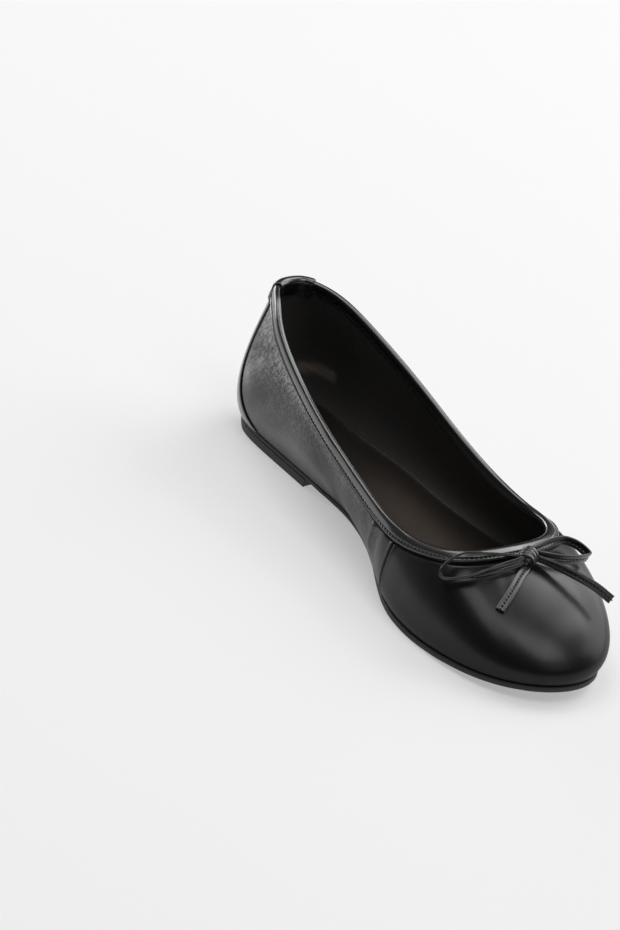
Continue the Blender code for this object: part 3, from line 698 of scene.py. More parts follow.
def rib_at(climb, distance):
    """The place round the shoe that lies this far from the back seam, along the wall."""
    fine = np.linspace(0.0, 3.4, 171)
    side = 1.0 if distance < 0 else -1.0
    run = run_along(wall(side * fine, np.full(len(fine), climb)))
    return side * np.interp(abs(distance), run, fine)


STRIP_CLIMBS = np.linspace(0.0, 1.0, 41)
STRIP_EDGES = [np.array([abs(rib_at(climb, side * strip_width(climb) / 2))
                         for climb in STRIP_CLIMBS]) for side in (-1, 1)]


def strip_height(rib, climb):
    """Two fine creases, where the edges of the strip at the back press into the wall."""
    inner = rib < 10
    away = np.where(inner, rib, len(RIBS) - rib)
    edge = np.where(inner, np.interp(climb, STRIP_CLIMBS, STRIP_EDGES[0]),
                    np.interp(climb, STRIP_CLIMBS, STRIP_EDGES[1]))
    off = (away - edge) * rib_spacing(rib, climb) * 1000
    return -0.00055 * np.exp(-((off - 0.3) / 0.5) ** 2)


def binding_crease(depth):
    """The crease in which the lower edge of the binding lies."""
    return -0.00095 * hump(depth, CREASE_DEPTH, 0.00060)


# Where the finish is rubbed up brighter, or has gone dull: width in millimetres, change.
RUBBED = [
    Fold(7.0, 0.62, [(1.20, 0.92), (2.20, 0.84), (2.90, 0.88), (4.00, 0.90)]),
    Fold(4.5, 0.35, [(1.75, 0.40), (1.90, 0.50), (2.30, 0.62)]),
    Fold(4.0, -0.16, [(1.80, 0.62), (2.10, 0.66), (2.60, 0.74)]),
    Fold(6.0, -0.22, [(2.50, 0.42), (2.90, 0.55), (3.50, 0.62), (4.20, 0.60), (5.00, 0.62)]),
    Fold(6.0, 0.36, [(2.20, 0.14), (3.20, 0.20), (4.20, 0.16)]),
    Fold(10.0, -0.32, [(4.20, 0.42), (5.00, 0.45), (5.80, 0.50), (6.40, 0.60)]),
    Fold(12.0, 0.10, [(10.40, 0.80), (11.20, 0.62), (11.40, 0.40)]),
    Fold(9.0, -0.10, [(9.60, 0.75), (9.90, 0.55)]),
    Fold(9.0, 0.25, [(15.60, 0.85), (17.00, 0.88), (18.40, 0.90)]),
    Fold(8.0, -0.15, [(14.60, 0.50), (16.20, 0.55)]),
]
# Inside, one place of the lining at the heel has a painted highlight: its colour is blended
# towards a light brown there, and its clear finish is raised.
HEEL_GLOSS_AND_PAINTED_HIGHLIGHT = Fold(2.4, 0.80, [(18.90, 0.28), (18.45, 0.32), (17.95, 0.33)])


def finish_weight(rib, climb, points, depth):
    """How much clear finish the leather carries, from 0 to 1. Creases are left dull."""
    inner = 1.0 - ease((rib - 6.6) / 0.3)
    outer = ease((rib - 13.2) / 0.6)
    weight = 0.23 + 0.34 * inner + 0.22 * outer
    weight = weight * (0.20 + 0.80 * ease(climb / 0.60))
    weight = weight + 0.12 * np.maximum(inner, outer)
    for patch in RUBBED:
        rows = np.array(patch.points)
        far, _ = distance_to_path(points, wall(rows[:, 0], rows[:, 1]))
        weight = weight + patch.height * np.exp(-(far / (patch.width / 1000)) ** 2)
    weight = 0.77 * np.clip(weight, 0.05, 1.3)
    weight = weight * (1.0 - np.exp(-(off_seam(rib, climb) / 0.9) ** 2))
    return weight * (1.0 - hump(depth, CREASE_DEPTH, 0.00075))


# %% The upper
TOP_DEPTHS = [0.0080, 0.0072, 0.0067, 0.0063, 0.0060, 0.0058, 0.0056, 0.0054, 0.0051, 0.0045,
              0.0030, 0.0015, 0.0]
LOW_ROWS = 60
INNER_ROWS = 24


def make_upper():
    """Outer leather and lining as one wall with a folded lower edge."""
    rows = []
    values = []
    coat_and_painted_highlight = []
    ribs = UPPER_RIBS
    ones = np.ones(UPPER_COLUMNS)
    quarter = 0.05 + ease((6.9 - ribs) / 0.5) * (0.95 - 0.45 * ease((ribs - 4.2) / 1.2))
    quarter = quarter + 0.55 * ease((ribs - 13.4) / 0.8)
    foot = foot_line(ribs)
    inward = -FOOT.outward(ribs)
    for inset, height in ((0.0035, -0.00005), (0.0006, -0.00002)):
        low = foot + inward * inset
        low[:, 2] = sole_over(share_along(low)) + height
        rows.append(low)
        values.append(quarter)
        coat_and_painted_highlight.append(finish_weight(ribs, ones * 0.0, low, ones))
    depths = depth_rows(ribs)
    start = climb_below_top(ribs, TOP_DEPTHS[0], depths)
    climbs = [start * share for share in np.linspace(0.0, 1.0, LOW_ROWS)[:-1]]
    climbs += [climb_below_top(ribs, depth, depths) for depth in TOP_DEPTHS]
    for climb in climbs:
        spot = wall(ribs, climb)
        depth = np.array([np.interp(-c, -FINE_CLIMB, row) for c, row in zip(climb, depths)])
        lift = seam_height(ribs, climb) + strip_height(ribs, climb)
        lift = lift * ease((depth - 0.003) / 0.003)
        lift = lift + fold_height(spot) * ease((depth - CREASE_DEPTH) / 0.0035)
        lift = lift * ease(climb / 0.05 + 0.1)
        lift = lift + binding_crease(depth)
        rows.append(spot + wall_normal(ribs, climb) * lift[:, None])
        values.append(quarter * (0.10 + 0.90 * ease((climb - 0.25) / 0.45)))
        coat_and_painted_highlight.append(finish_weight(ribs, climb, spot, depth))
    outer_rows = len(rows)
    # The lining's painted highlight at the heel: these values lighten the lining's colour there,
    # calm its grain and raise its finish.
    patch = np.array(HEEL_GLOSS_AND_PAINTED_HIGHLIGHT.points)
    for climb in np.linspace(1.0, 0.0, INNER_ROWS):
        spot = wall(ribs, ones * climb)
        rows.append(spot - wall_normal(ribs, ones * climb) * WALL)
        far, _ = distance_to_path(spot, wall(patch[:, 0], patch[:, 1]))
        painted_highlight_mask = np.exp(-(far / (HEEL_GLOSS_AND_PAINTED_HIGHLIGHT.width / 1000)) ** 2)
        values.append(0.2 + 0.8 * painted_highlight_mask)
        coat_and_painted_highlight.append(0.02 + HEEL_GLOSS_AND_PAINTED_HIGHLIGHT.height * painted_highlight_mask)
    low = rows[-1].copy()
    low[:, 2] = sole_over(share_along(low)) + 0.00005
    rows.append(low)
    values.append(ones * 0.4)
    coat_and_painted_highlight.append(ones * 0.3)
    faces = grid_faces(len(rows), UPPER_COLUMNS, True)
    slots = np.repeat([1 if outer_rows <= row < len(rows) - 1 else 0
                       for row in range(len(rows))], UPPER_COLUMNS)
    piece = build("shoe_upper", rows, faces, [UPPER_LEATHER, LINING_LEATHER], slots=slots)
    add_values(piece, "grain", np.array(values))
    add_values(piece, "finish", np.array(coat_and_painted_highlight))
    return piece


seat(make_upper(), "upper_leather", "upper")

# %% [markdown]
# The topline is bound: a narrow strip is sewn on, folded over the edge and stitched down, so a
# rounded rim sits on a flat band, with a row of stitches in a groove and a fine folded ridge
# below it. A section drawn once and carried round the rim gives all of this in real geometry.

# %% The binding
Edge = namedtuple("Edge", "depth out sewn")
OUTER_EDGES = [
    Edge(0.0, 0.92, 0), Edge(0.3, 1.03, 0), Edge(0.7, 1.10, 0), Edge(1.2, 1.12, 0),
    Edge(1.8, 1.10, 0), Edge(2.4, 1.08, 0), Edge(2.9, 1.05, 0), Edge(3.2, 0.99, 0.15),
    Edge(3.38, 0.90, 0.6), Edge(3.55, 0.82, 1), Edge(3.75, 0.80, 1), Edge(3.92, 0.84, 1),
    Edge(4.08, 0.94, 0.6), Edge(4.25, 1.05, 0.1), Edge(4.5, 1.14, 0), Edge(4.8, 1.12, 0),
    Edge(5.05, 0.98, 0), Edge(5.22, 0.72, 0), Edge(5.32, 0.40, 0), Edge(5.36, -0.30, 0),
]
INNER_EDGES = [
    Edge(0.0, 0.92, 0), Edge(0.6, 0.98, 0), Edge(1.6, 0.98, 0), Edge(2.6, 0.94, 0),
    Edge(3.2, 0.88, 0.3), Edge(3.45, 0.76, 1), Edge(3.7, 0.76, 1), Edge(3.9, 0.86, 0.3),
    Edge(4.5, 0.88, 0), Edge(4.85, 0.72, 0), Edge(5.0, 0.40, 0), Edge(5.05, -0.10, 0),
]
RIM_POINTS = 9
RIM_OUT = 0.92 / 1000
RIM_RISE = 0.00112
STITCH_DEPTH = 3.72
STITCH_PITCH = 0.0021


def rim_frame(rib):
    """At the topline: the point, the way up out of the wall and the way outward."""
    ones = np.ones(len(rib))
    top = wall(rib, ones)
    return top, unit(top - wall(rib, ones - 0.01)), wall_normal(rib, ones)


def wobble(rib, seed, turns):
    """A slow wander round the shoe, between -1 and 1, that closes on itself."""
    angle = rib / len(RIBS) * 2.0 * math.pi
    total = np.zeros(len(rib))
    for index in range(1, turns):
        total += math.sin(seed * 12.9 * index) * np.sin(index * 5 * angle + seed * index * 1.7)
    return total / math.sqrt(turns)


def binding_line(depth, out, inside=False):
    """A line round the topline at this depth, this far off the wall."""
    climb = climb_below_top(RIM_RIBS, depth / 1000)
    return off_wall(RIM_RIBS, climb, -(WALL + out / 1000) if inside else out / 1000)


def stitch_beat(path, closed, pitch):
    """How many stitches the path takes, and how near each point is to the middle of one."""
    path = np.asarray(path)
    run = run_along(path)
    total = run[-1] + (np.linalg.norm(path[0] - path[-1]) if closed else 0.0)
    count = int(round(total / pitch)) + (0 if closed else 1)
    beat = run / total * (count if closed else count - 1)
    return count, 0.5 + 0.5 * np.cos(2.0 * math.pi * beat)


def make_binding():
    """Outer leg, rolled rim and inner leg in one closed section."""
    ribs = RIM_RIBS
    rows = depth_rows(ribs)
    top, up, out = rim_frame(ribs)
    plump = 1.0 + 0.05 * wobble(ribs, 0.7, 9)
    _, pressed = stitch_beat(binding_line(STITCH_DEPTH, 0.6), True, STITCH_PITCH)
    section = []
    for edge in OUTER_EDGES[::-1]:
        climb = climb_below_top(ribs, edge.depth / 1000, rows)
        face = (edge.out * (plump if edge.out > 0.5 else 1.0)
                - edge.sewn * (0.14 + 0.60 * pressed))
        section.append(off_wall(ribs, climb, face / 1000))
    outside, inside = RIM_OUT, -(WALL + RIM_OUT)
    middle, reach = (outside + inside) / 2, (outside - inside) / 2
    for step in range(1, RIM_POINTS):
        angle = math.pi * step / RIM_POINTS
        section.append(top + out * (middle + reach * math.cos(angle))
                       + up * (RIM_RISE * math.sin(angle)))
    for edge in INNER_EDGES:
        climb = climb_below_top(ribs, edge.depth / 1000, rows)
        face = WALL * 1000 + edge.out - 0.30 * edge.sewn * pressed
        section.append(off_wall(ribs, climb, -face / 1000))
    faces = grid_faces(len(section), len(ribs), True)
    return build("topline_binding", section, faces, BINDING_LEATHER)


seat(make_binding(), "binding_leather", "collar_binding")

# %% [markdown]
# Stitches repeat along a line, which is work for Geometry Nodes: the line is cut into even
# steps, a short plump stitch is set on each step and turned to follow it, and the copies are
# made real. One tree with named sizes serves every seam of the shoe.

# %% The stitch tree
def stitch_tree():
    """Geometry Nodes: a path in, a row of stitches out."""
    tree = bpy.data.node_groups.new("stitch_row", "GeometryNodeTree")
    for name, kind, value in (
            ("Geometry", "Geometry", None), ("Stitches", "Int", 40),
            ("Stitch length", "Float", 0.0013), ("Stitch width", "Float", 0.0004),
            ("Lean", "Float", 0.0), ("Material", "Material", None)):
        socket(tree, name, "NodeSocket" + kind, "INPUT", value)
    socket(tree, "Geometry", "NodeSocketGeometry", "OUTPUT")
    given = tree.nodes.new("NodeGroupInput").outputs
    curve = node(tree, "GeometryNodeMeshToCurve", Mesh=given["Geometry"])
    steps = node(tree, "GeometryNodeResampleCurve", mode="COUNT", Curve=curve,
                 Count=given["Stitches"])
    bead = node(tree, "GeometryNodeMeshUVSphere", Segments=8, Rings=6, Radius=0.5)
    size = node(tree, "ShaderNodeCombineXYZ", X=given["Stitch width"],
                Y=given["Stitch width"], Z=given["Stitch length"])
    stitch = node(tree, "GeometryNodeTransform", Geometry=bead, Scale=size)
    follow = node(tree, "FunctionNodeAlignEulerToVector", axis="Z",
                  Vector=tree.nodes.new("GeometryNodeInputTangent"))
    lean = node(tree, "ShaderNodeCombineXYZ", X=given["Lean"])
    turned = node(tree, "FunctionNodeRotateEuler", rotation_type="EULER", space="LOCAL",
                  Rotation=follow, Rotate_By=lean)
    spread = node(tree, "GeometryNodeInstanceOnPoints", Points=steps, Instance=stitch,
                  Rotation=turned)
    real = node(tree, "GeometryNodeRealizeInstances", Geometry=spread)
    waxed = node(tree, "GeometryNodeSetMaterial", Geometry=real, Material=given["Material"])
    smooth = node(tree, "GeometryNodeSetShadeSmooth", Geometry=waxed)
    node(tree, "NodeGroupOutput", Geometry=smooth)
    return tree


STITCH_TREE = stitch_tree()


def stitch_row(name, paths, closed, pitch, length, width, lean=0.0, material=THREAD):
    """Rows of stitches along these paths, as one plain mesh."""
    made = []
    for index, path in enumerate(paths):
        guide = bpy.data.meshes.new(f"{name}_path_{index}")
        edges = [(i, i + 1) for i in range(len(path) - 1)]
        if closed:
            edges.append((len(path) - 1, 0))
        guide.from_pydata(np.asarray(path, float).tolist(), edges, [])
        line = add_object(guide.name, guide)
        modifier = line.modifiers.new("stitches", "NODES")
        modifier.node_group = STITCH_TREE
        wanted = {"Stitches": stitch_beat(path, closed, pitch)[0], "Stitch length": length,
                  "Stitch width": width, "Lean": lean, "Material": material}
        for item in STITCH_TREE.interface.items_tree:
            if item.in_out == "INPUT" and item.name in wanted:
                modifier[item.identifier] = wanted[item.name]
        bpy.context.view_layer.update()
        graph = bpy.context.evaluated_depsgraph_get()
        made.append(bpy.data.meshes.new_from_object(line.evaluated_get(graph)))
        bpy.data.objects.remove(line, do_unlink=True)
    joined = bmesh.new()
    for mesh in made:
        joined.from_mesh(mesh)
    result = bpy.data.meshes.new(name)
    joined.to_mesh(result)
    joined.free()
    result.materials.append(material)
    result.shade_smooth()
    return add_object(name, result)


# %% Stitches of the binding and of the side seam
seat(stitch_row(
    "binding_stitches",
    [binding_line(STITCH_DEPTH, 0.36), binding_line(3.58, 0.52, inside=True)],
    True, STITCH_PITCH, length=0.0013, width=0.00036, lean=0.08), "binding_leather")


def seam_line():
    """The line of the side seam's stitches, sunk a little into the folded wall."""
    climbs = np.linspace(0.34, 0.86, 60)
    ribs = seam_rib(climbs)
    return off_wall(ribs, climbs, fold_height(wall(ribs, climbs)) - 0.00030)


seat(stitch_row("side_seam_stitches", [seam_line()], False, 0.0022, length=0.0012,
                width=0.0004), "upper_leather")

# %% [markdown]
# A strip covers the seam at the back. It is folded over the bound edge and glued down inside,
# and its two edges stand out by the thickness of the leather.

# %% The strip over the back seam
STRIP_COLUMNS = 61
STRIP_OFF = 0.00114
STRIP_LIFT = 0.00005


def make_heel_tab():
    """Sheets across the strip, from its inner end over the rim and down to the sole."""
    across = np.linspace(-0.5, 0.5, STRIP_COLUMNS)
    across = np.sign(across) * 0.5 * (1.0 - (1.0 - 2.0 * np.abs(across)) ** 1.25)
    top_ribs = np.array([rib_at(1.0, STRIP_TOP_WIDTH * share) for share in across])
    top, up, out = rim_frame(top_ribs)
    over = STRIP_OFF
    worn = STRIP * 0.30 * np.clip((np.abs(across) - 0.485) / 0.015, 0, 1)[:, None] ** 2
    sheets = []

    def lay(base, square, lift):
        sheets.append((base + square * lift, base + square * (lift + STRIP - worn)))

    for depth in (STRIP_TUCK, STRIP_TUCK * 0.97, STRIP_TUCK * 0.85, 0.0056, 0.0052, 0.0046,
                  0.003, 0.0015, 0.0006):
        climb = climb_below_top(top_ribs, depth)
        square = -wall_normal(top_ribs, climb)
        settled = ease((depth - 0.0046) / 0.0010)
        lift = over * (1 - settled) + 0.0001 * settled - (0.0002 if depth == STRIP_TUCK else 0.0)
        lay(wall(top_ribs, climb) + square * WALL, square, lift)
    half = WALL / 2 + over
    middle = top - out * (WALL / 2)
    for angle in np.linspace(math.pi, 0.0, 13):
        way = out * math.cos(angle) + up * math.sin(angle)
        radius = half * (1.0 - 0.12 * math.sin(angle))
        lay(middle + way * (radius - over), way, over)
    for depth in (0.0006, 0.0015, 0.003, 0.0042, 0.0050, 0.0054, 0.0058, 0.0064, 0.0072):
        climb = float(climb_below_top(np.zeros(1), depth)[0])
        ribs = np.array([rib_at(climb, strip_width(climb) * share) for share in across])
        climbs = climb_below_top(ribs, depth)
        settled = ease((depth - 0.0048) / 0.0020)
        lay(wall(ribs, climbs), wall_normal(ribs, climbs),
            over * (1 - settled) + STRIP_LIFT * settled)
    for climb in np.linspace(LOW_CLIMB, STRIP_END * 0.4, 60):
        ribs = np.array([rib_at(climb, strip_width(climb) * share) for share in across])
        climbs = np.full(STRIP_COLUMNS, climb)
        lay(wall(ribs, climbs), wall_normal(ribs, climbs), STRIP_LIFT)
    rings = np.array([np.vstack([under, face[::-1]]) for under, face in sheets])
    count = rings.shape[1]
    faces = grid_faces(len(rings), count, False).tolist()
    for base in (0, (len(rings) - 1) * count):
        for i in range(STRIP_COLUMNS - 1):
            faces.append([base + i, base + i + 1, base + count - 2 - i, base + count - 1 - i])
    return build("heel_tab", rings, faces, BINDING_LEATHER, crisp=50)


seat(make_heel_tab(), "binding_leather", "heel_strip")

# %% [markdown]
# Inside lies the sock, a thin piece of smooth leather glued over the insole board. It follows
# the sole's curve, laps up a little where it meets the walls, and it has soft creases across
# the joint of the foot. Behind the ball, one patch of it has a painted pool of light: its colour
# is blended towards a light brown and its finish is raised.

# %% The sock
SOCK_ROWS = 420
SOCK_LANES = 64


def inner_foot():
    """The outline of the floor inside the walls, finely."""
    ribs = even_ribs(1600)
    return off_wall(ribs, np.zeros(len(ribs)), -(WALL + 0.00005))


def make_sock():
    """A sheet across the shoe, between its inner and outer outlines, with a turned edge."""
    edge = inner_foot()
    back, front = edge[:, 1].argmax(), edge[:, 1].argmin()
    low, high = sorted((back, front))
    one = edge[low:high + 1]
    other = np.vstack([edge[high:], edge[:low + 1]])
    t = (1.0 - np.cos(np.linspace(0.0, math.pi, SOCK_ROWS))) / 2.0
    y = edge[back, 1] + (edge[front, 1] - edge[back, 1]) * t

    def side(points):
        order = points[:, 1].argsort()
        return np.interp(y, points[order, 1], points[order, 0])

    inner_x, outer_x = np.minimum(side(one), side(other)), np.maximum(side(one), side(other))
    across = (1.0 - np.cos(np.linspace(0.0, math.pi, SOCK_LANES))) / 2.0
    x = inner_x[:, None] + (outer_x - inner_x)[:, None] * across
    points = np.stack([x, np.repeat(y[:, None], SOCK_LANES, 1), np.zeros_like(x)], -1)
    along = share_along(points)
    from_edge = np.minimum(x - inner_x[:, None], outer_x[:, None] - x)
    from_end = np.minimum(y[0] - points[..., 1], points[..., 1] - y[-1])
    margin = np.minimum(from_edge, from_end)
    lap = 0.0009 * np.exp(-np.clip(margin, 0, None) / 0.0016)
    creases = (0.00018 * np.sin(along * 260.0 + 5.0 * np.sin(x * 90.0))
               * hump(along, 0.62, 0.07) * hump(x, -0.004, 0.022))
    seat_dip = -0.0003 * hump(along, 0.10, 0.05) * hump(x, 0.002, 0.012)
    points[..., 2] = sole_over(along) + GAP + SOCK + lap + creases + seat_dip
    under = points.copy()
    under[..., 2] = sole_over(along) + 0.0001
    faces = grid_faces(SOCK_ROWS, SOCK_LANES, False, False)
    total = SOCK_ROWS * SOCK_LANES
    lower = faces[:, ::-1] + total
    rim = []
    loop = ([(r, 0) for r in range(SOCK_ROWS)]
            + [(SOCK_ROWS - 1, c) for c in range(1, SOCK_LANES)]
            + [(r, SOCK_LANES - 1) for r in range(SOCK_ROWS - 2, -1, -1)]
            + [(0, c) for c in range(SOCK_LANES - 2, 0, -1)])
    for (r1, c1), (r2, c2) in zip(loop, loop[1:] + loop[:1]):
        a, b = r1 * SOCK_LANES + c1, r2 * SOCK_LANES + c2
        rim.append([a, b, b + total, a + total])
    piece = build("sock", np.concatenate([points, under]),
                  np.vstack([faces, lower]).tolist() + rim, SOCK_LEATHER, outward=False)
    # A painted pool of light on the sock: these values blend its colour towards a light brown and
    # raise its finish.
    painted_light_pool = 0.62 * hump(x, 0.010, 0.011) * ease((along - 0.24) / 0.2) * (
        1.0 - ease((along - 0.52) / 0.14))
    add_values(piece, "finish", np.concatenate([0.10 + painted_light_pool, 0.0 * painted_light_pool]))
    add_values(piece, "grain", np.full(2 * total, 0.45))
    turn_outward(piece.data, merge=1e-7)
    piece.data.shade_smooth()
    piece.data.set_sharp_from_angle(angle=math.radians(60))
    return piece


seat(make_sock(), "sock_leather", "insole")

# %% [markdown]
# The sole is thin leather with a dyed, slightly rough edge. It stands out by less than a
# millimetre at the forefoot and hides under the arch. The heel is a low block of the same, with
# a fine joint between the two. Both are outlines stacked up and filled across.

# %% The sole and the heel
SOLE_COLUMNS = 800
SOLE_RIBS = even_ribs(SOLE_COLUMNS)


def sole_edge(rib, inset):
    """The outline of the sole, level, drawn in by inset."""
    foot = FOOT.at(rib)
    forward = ease((share_along(foot) - FLAT_REAR + SOLE_WIDEN) / SOLE_WIDEN)[:, None]
    proud = SEAT_PROUD + (SOLE_PROUD - SEAT_PROUD) * forward
    return foot + FOOT.outward(rib) * (proud - inset)


def fill_across(base, count, tip):
    """Faces from the inner side of an outline to its outer side."""
    faces = [[base, base + 1, base + count - 1]]
    for column in range(1, min(tip, count - tip) - 1):
        faces.append([base + column, base + column + 1,
                      base + count - column - 1, base + count - column])
    column = min(tip, count - tip) - 1
    return faces + [list(range(base + column, base + count - column + 1))]


def make_sole():
    """The outsole, with rounded and slightly uneven edges."""
    rings = []
    tip = int(np.argmin(np.abs(SOLE_RIBS - TIP_RIB)))
    uneven = 0.00006 * wobble(SOLE_RIBS, 1.3, 14)[:, None]
    for inset, share in ((0.0016, 0.0), (0.0007, 0.015), (0.0002, 0.10), (0.00002, 0.22),
                         (0.0, 0.5), (0.00003, 0.78), (0.00018, 0.92), (0.0006, 0.99),
                         (0.0022, 1.0)):
        ring = sole_edge(SOLE_RIBS, inset + uneven)
        along = share_along(ring)
        ring[:, 2] = sole_under(along) + share * sole_thick(along)
        rings.append(ring)
    faces = grid_faces(len(rings), SOLE_COLUMNS, False).tolist()
    for base in (0, (len(rings) - 1) * SOLE_COLUMNS):
        faces += fill_across(base, SOLE_COLUMNS, tip)
    return build("sole", rings, faces, SOLE_LEATHER, crisp=35)


seat(make_sole(), "sole", "outsole")


def heel_outline(inset):
    """The sole's outline behind the breast, closed by the curved breast."""
    ribs = np.concatenate([np.linspace(16.4, 20.0, 150)[:-1], np.linspace(0.0, 4.0, 160)])
    edge = sole_edge(ribs, inset)
    along = share_along(edge)
    kept = edge[along < BREAST - 0.002]
    outer_x, inner_x = kept[0, 0], kept[-1, 0]
    breast = []
    for across in np.linspace(0.0, 1.0, 41):
        bow = HEEL_HOLLOW * math.sin(math.pi * across)
        breast.append([inner_x + (outer_x - inner_x) * across,
                       SOLE_LENGTH * (0.5 - BREAST) + SHIFT[1] + inset + bow, 0.0])
    return np.vstack([kept, breast])


def make_heel_block():
    """The low block, drawn in a little towards the floor."""
    top = HEEL_HEIGHT - 0.00006
    levels = [(HEEL_TAPER + 0.0012, 0.0), (HEEL_TAPER + 0.0003, 0.00003),
              (HEEL_TAPER + 0.00005, 0.0002), (HEEL_TAPER * 0.9, 0.0006),
              (HEEL_TAPER * 0.45, top * 0.5), (0.00005, top - 0.0003), (0.00022, top - 0.0001),
              (0.0006, top)]
    count = min(len(heel_outline(inset)) for inset, _ in levels)
    rings = []
    for inset, height in levels:
        ring = heel_outline(inset)
        spread = np.linspace(0, len(ring) - 1, count)
        ring = np.stack([np.interp(spread, np.arange(len(ring)), ring[:, axis])
                         for axis in range(3)], -1)
        ring[:, 2] = height
        rings.append(ring)
    faces = grid_faces(len(rings), count, False).tolist() + end_caps(len(rings), count)
    return build("heel_block", rings, faces, SOLE_LEATHER, crisp=30)


seat(make_heel_block(), "sole", "heel")

# %% [markdown]
# The bow is a narrow strip of leather, folded so that its edges meet and stitched down the
# middle, then tied. The loops stand on edge and the tails fall over the vamp. Every strip runs
# out from the knot by bearing and reach, at a lift above the leather below it, and its section
# has two soft lobes with the stitches between them.

# %% Routes of the bow
# Lean, in degrees, tips the strip's upper edge to the right of the way it runs.
Bend = namedtuple("Bend", "bearing reach lift lean", defaults=(0,))
INNER_LOOP = [
    Bend(168, 0.00, 0.10, -38), Bend(166, 0.27, 0.35, -35), Bend(164, 0.48, 0.55, -32),
    Bend(161, 0.67, 0.66, -30), Bend(162, 0.82, 0.68, -27), Bend(165, 0.92, 0.58, -15),
    Bend(170, 0.91, 0.36, 6), Bend(178, 0.74, 0.16, 22), Bend(184, 0.54, 0.06, -14),
    Bend(189, 0.28, 0.06, -38), Bend(197, 0.09, 0.15, -38), Bend(203, 0.00, 0.20, -28),
]
OUTER_LOOP = [
    Bend(32, 0.00, 0.05, -35), Bend(20, 0.20, 0.10, -45), Bend(17, 0.40, 0.19, -30),
    Bend(14, 0.56, 0.31, -6), Bend(7, 0.67, 0.43, 0), Bend(0, 0.74, 0.43, 0),
    Bend(-6, 0.75, 0.40, 8), Bend(-13, 0.59, 0.31, 22), Bend(-17, 0.37, 0.19, 28),
    Bend(-15, 0.18, 0.10, 25), Bend(1, 0.00, 0.05, 15),
]
INNER_TAIL = [
    Bend(236, -0.08, 0.02), Bend(236, 0.00, 0.02), Bend(223, 0.18, 0.02), Bend(220, 0.37, 0.02),
    Bend(218, 0.55, 0.02), Bend(216, 0.74, 0.12),
]
OUTER_TAIL = [
    Bend(-28, 0.00, 0.24, 15), Bend(-38, 0.18, 0.38, 8), Bend(-44, 0.37, 0.62, 0),
    Bend(-48, 0.56, 0.96, -6), Bend(-51, 0.74, 1.30, -12), Bend(-54, 0.92, 1.60, -16),
]


def wall_under(x, y):
    """Where on the vamp, as rib and climb, the points lie that are level with these in plan."""
    rib = np.full(len(x), TIP_RIB)
    climb = np.full(len(x), 0.8)
    step = 0.01
    for _ in range(12):
        here = wall(rib, climb)
        round_way = (wall(rib + step, climb) - here) / step
        up_way = (wall(rib, climb + step) - here) / step
        miss_x, miss_y = x - here[:, 0], y - here[:, 1]
        twist = round_way[:, 0] * up_way[:, 1] - round_way[:, 1] * up_way[:, 0]
        rib = rib + (miss_x * up_way[:, 1] - miss_y * up_way[:, 0]) / twist
        climb = np.clip(climb + (miss_y * round_way[:, 0] - miss_x * round_way[:, 1]) / twist,
                        0.0, 0.99)
    return rib, climb


def smooth_run(rows, count):
    """A smooth open curve through the rows, read at this many even places."""
    rows = np.asarray(rows, float)
    last = len(rows) - 1
    slopes = np.gradient(rows, axis=0)
    spots = np.linspace(0.0, last, count)
    low = np.minimum(spots.astype(int), last - 1)
    return span((spots - low)[:, None], rows[low], slopes[low], rows[low + 1],
                slopes[low + 1])


THROAT = TOP.at(np.array([TIP_RIB]))[0]
KNOT_SPOT = np.array([THROAT[0], THROAT[1] - BOW_SET])


def bow_route(bends, lowest, count):
    """Points down the middle of a strip, the way square to the vamp, its lean and length."""
    bearing = np.radians([bend.bearing for bend in bends])
    reach = KNOT_WIDTH / 2 + GAP + BOW_REACH * np.array([bend.reach for bend in bends])
    rib, climb = wall_under(KNOT_SPOT[0] + reach * np.cos(bearing),
                            KNOT_SPOT[1] + reach * np.sin(bearing))
    square = wall_normal(rib, climb)
    height = lowest + BOW_STRIP * np.array([bend.lift for bend in bends])
    points = smooth_run(wall(rib, climb) + square * height[:, None], 400)
    square = smooth_run(square, 400)
    lean = smooth_run([[math.radians(bend.lean)] for bend in bends], 400)[:, 0]
    run = run_along(points)
    even = np.linspace(0.0, run[-1], count)
    points, square = (np.stack([np.interp(even, run, rows[:, axis]) for axis in range(3)], -1)
                      for rows in (points, square))
    return points, unit(square), np.interp(even, run, lean), run[-1]


# %% Strips of the bow
# Width runs from the folded edge, -1, to the two raw edges, 1. Height is half the thickness.
# The last number is how far the stitches press that point down.
FACE = [(-1.00, 0.00, 0), (-0.985, 0.42, 0), (-0.94, 0.76, 0), (-0.84, 0.96, 0),
        (-0.62, 1.00, 0), (-0.34, 0.98, 0), (-0.19, 0.92, 0.3), (-0.11, 0.84, 1),
        (0.0, 0.80, 1), (0.11, 0.84, 1), (0.19, 0.92, 0.3), (0.34, 0.98, 0), (0.62, 0.99, 0),
        (0.86, 0.96, 0), (0.96, 0.86, 0), (1.00, 0.66, 0), (1.00, 0.40, 0), (0.95, 0.20, 0),
        (0.84, 0.08, 0)]
SECTION = np.array(FACE + [(0.78, 0.0, 0)]
                   + [(wide, -high, sewn) for wide, high, sewn in FACE[:0:-1]])
TAPE_PITCH = 0.0019
TAPE_RINGS = 240
TAPE_PRESS = 0.85


def tape_ring(centre, wide, thin, press, half_width=BOW_STRIP / 2, half_thick=BOW_THICK / 2):
    """One section of the folded strip, pressed down where a stitch lies."""
    height = SECTION[:, 1] - np.sign(SECTION[:, 1]) * SECTION[:, 2] * TAPE_PRESS * press
    return centre + SECTION[:, :1] * wide * half_width + height[:, None] * thin * half_thick


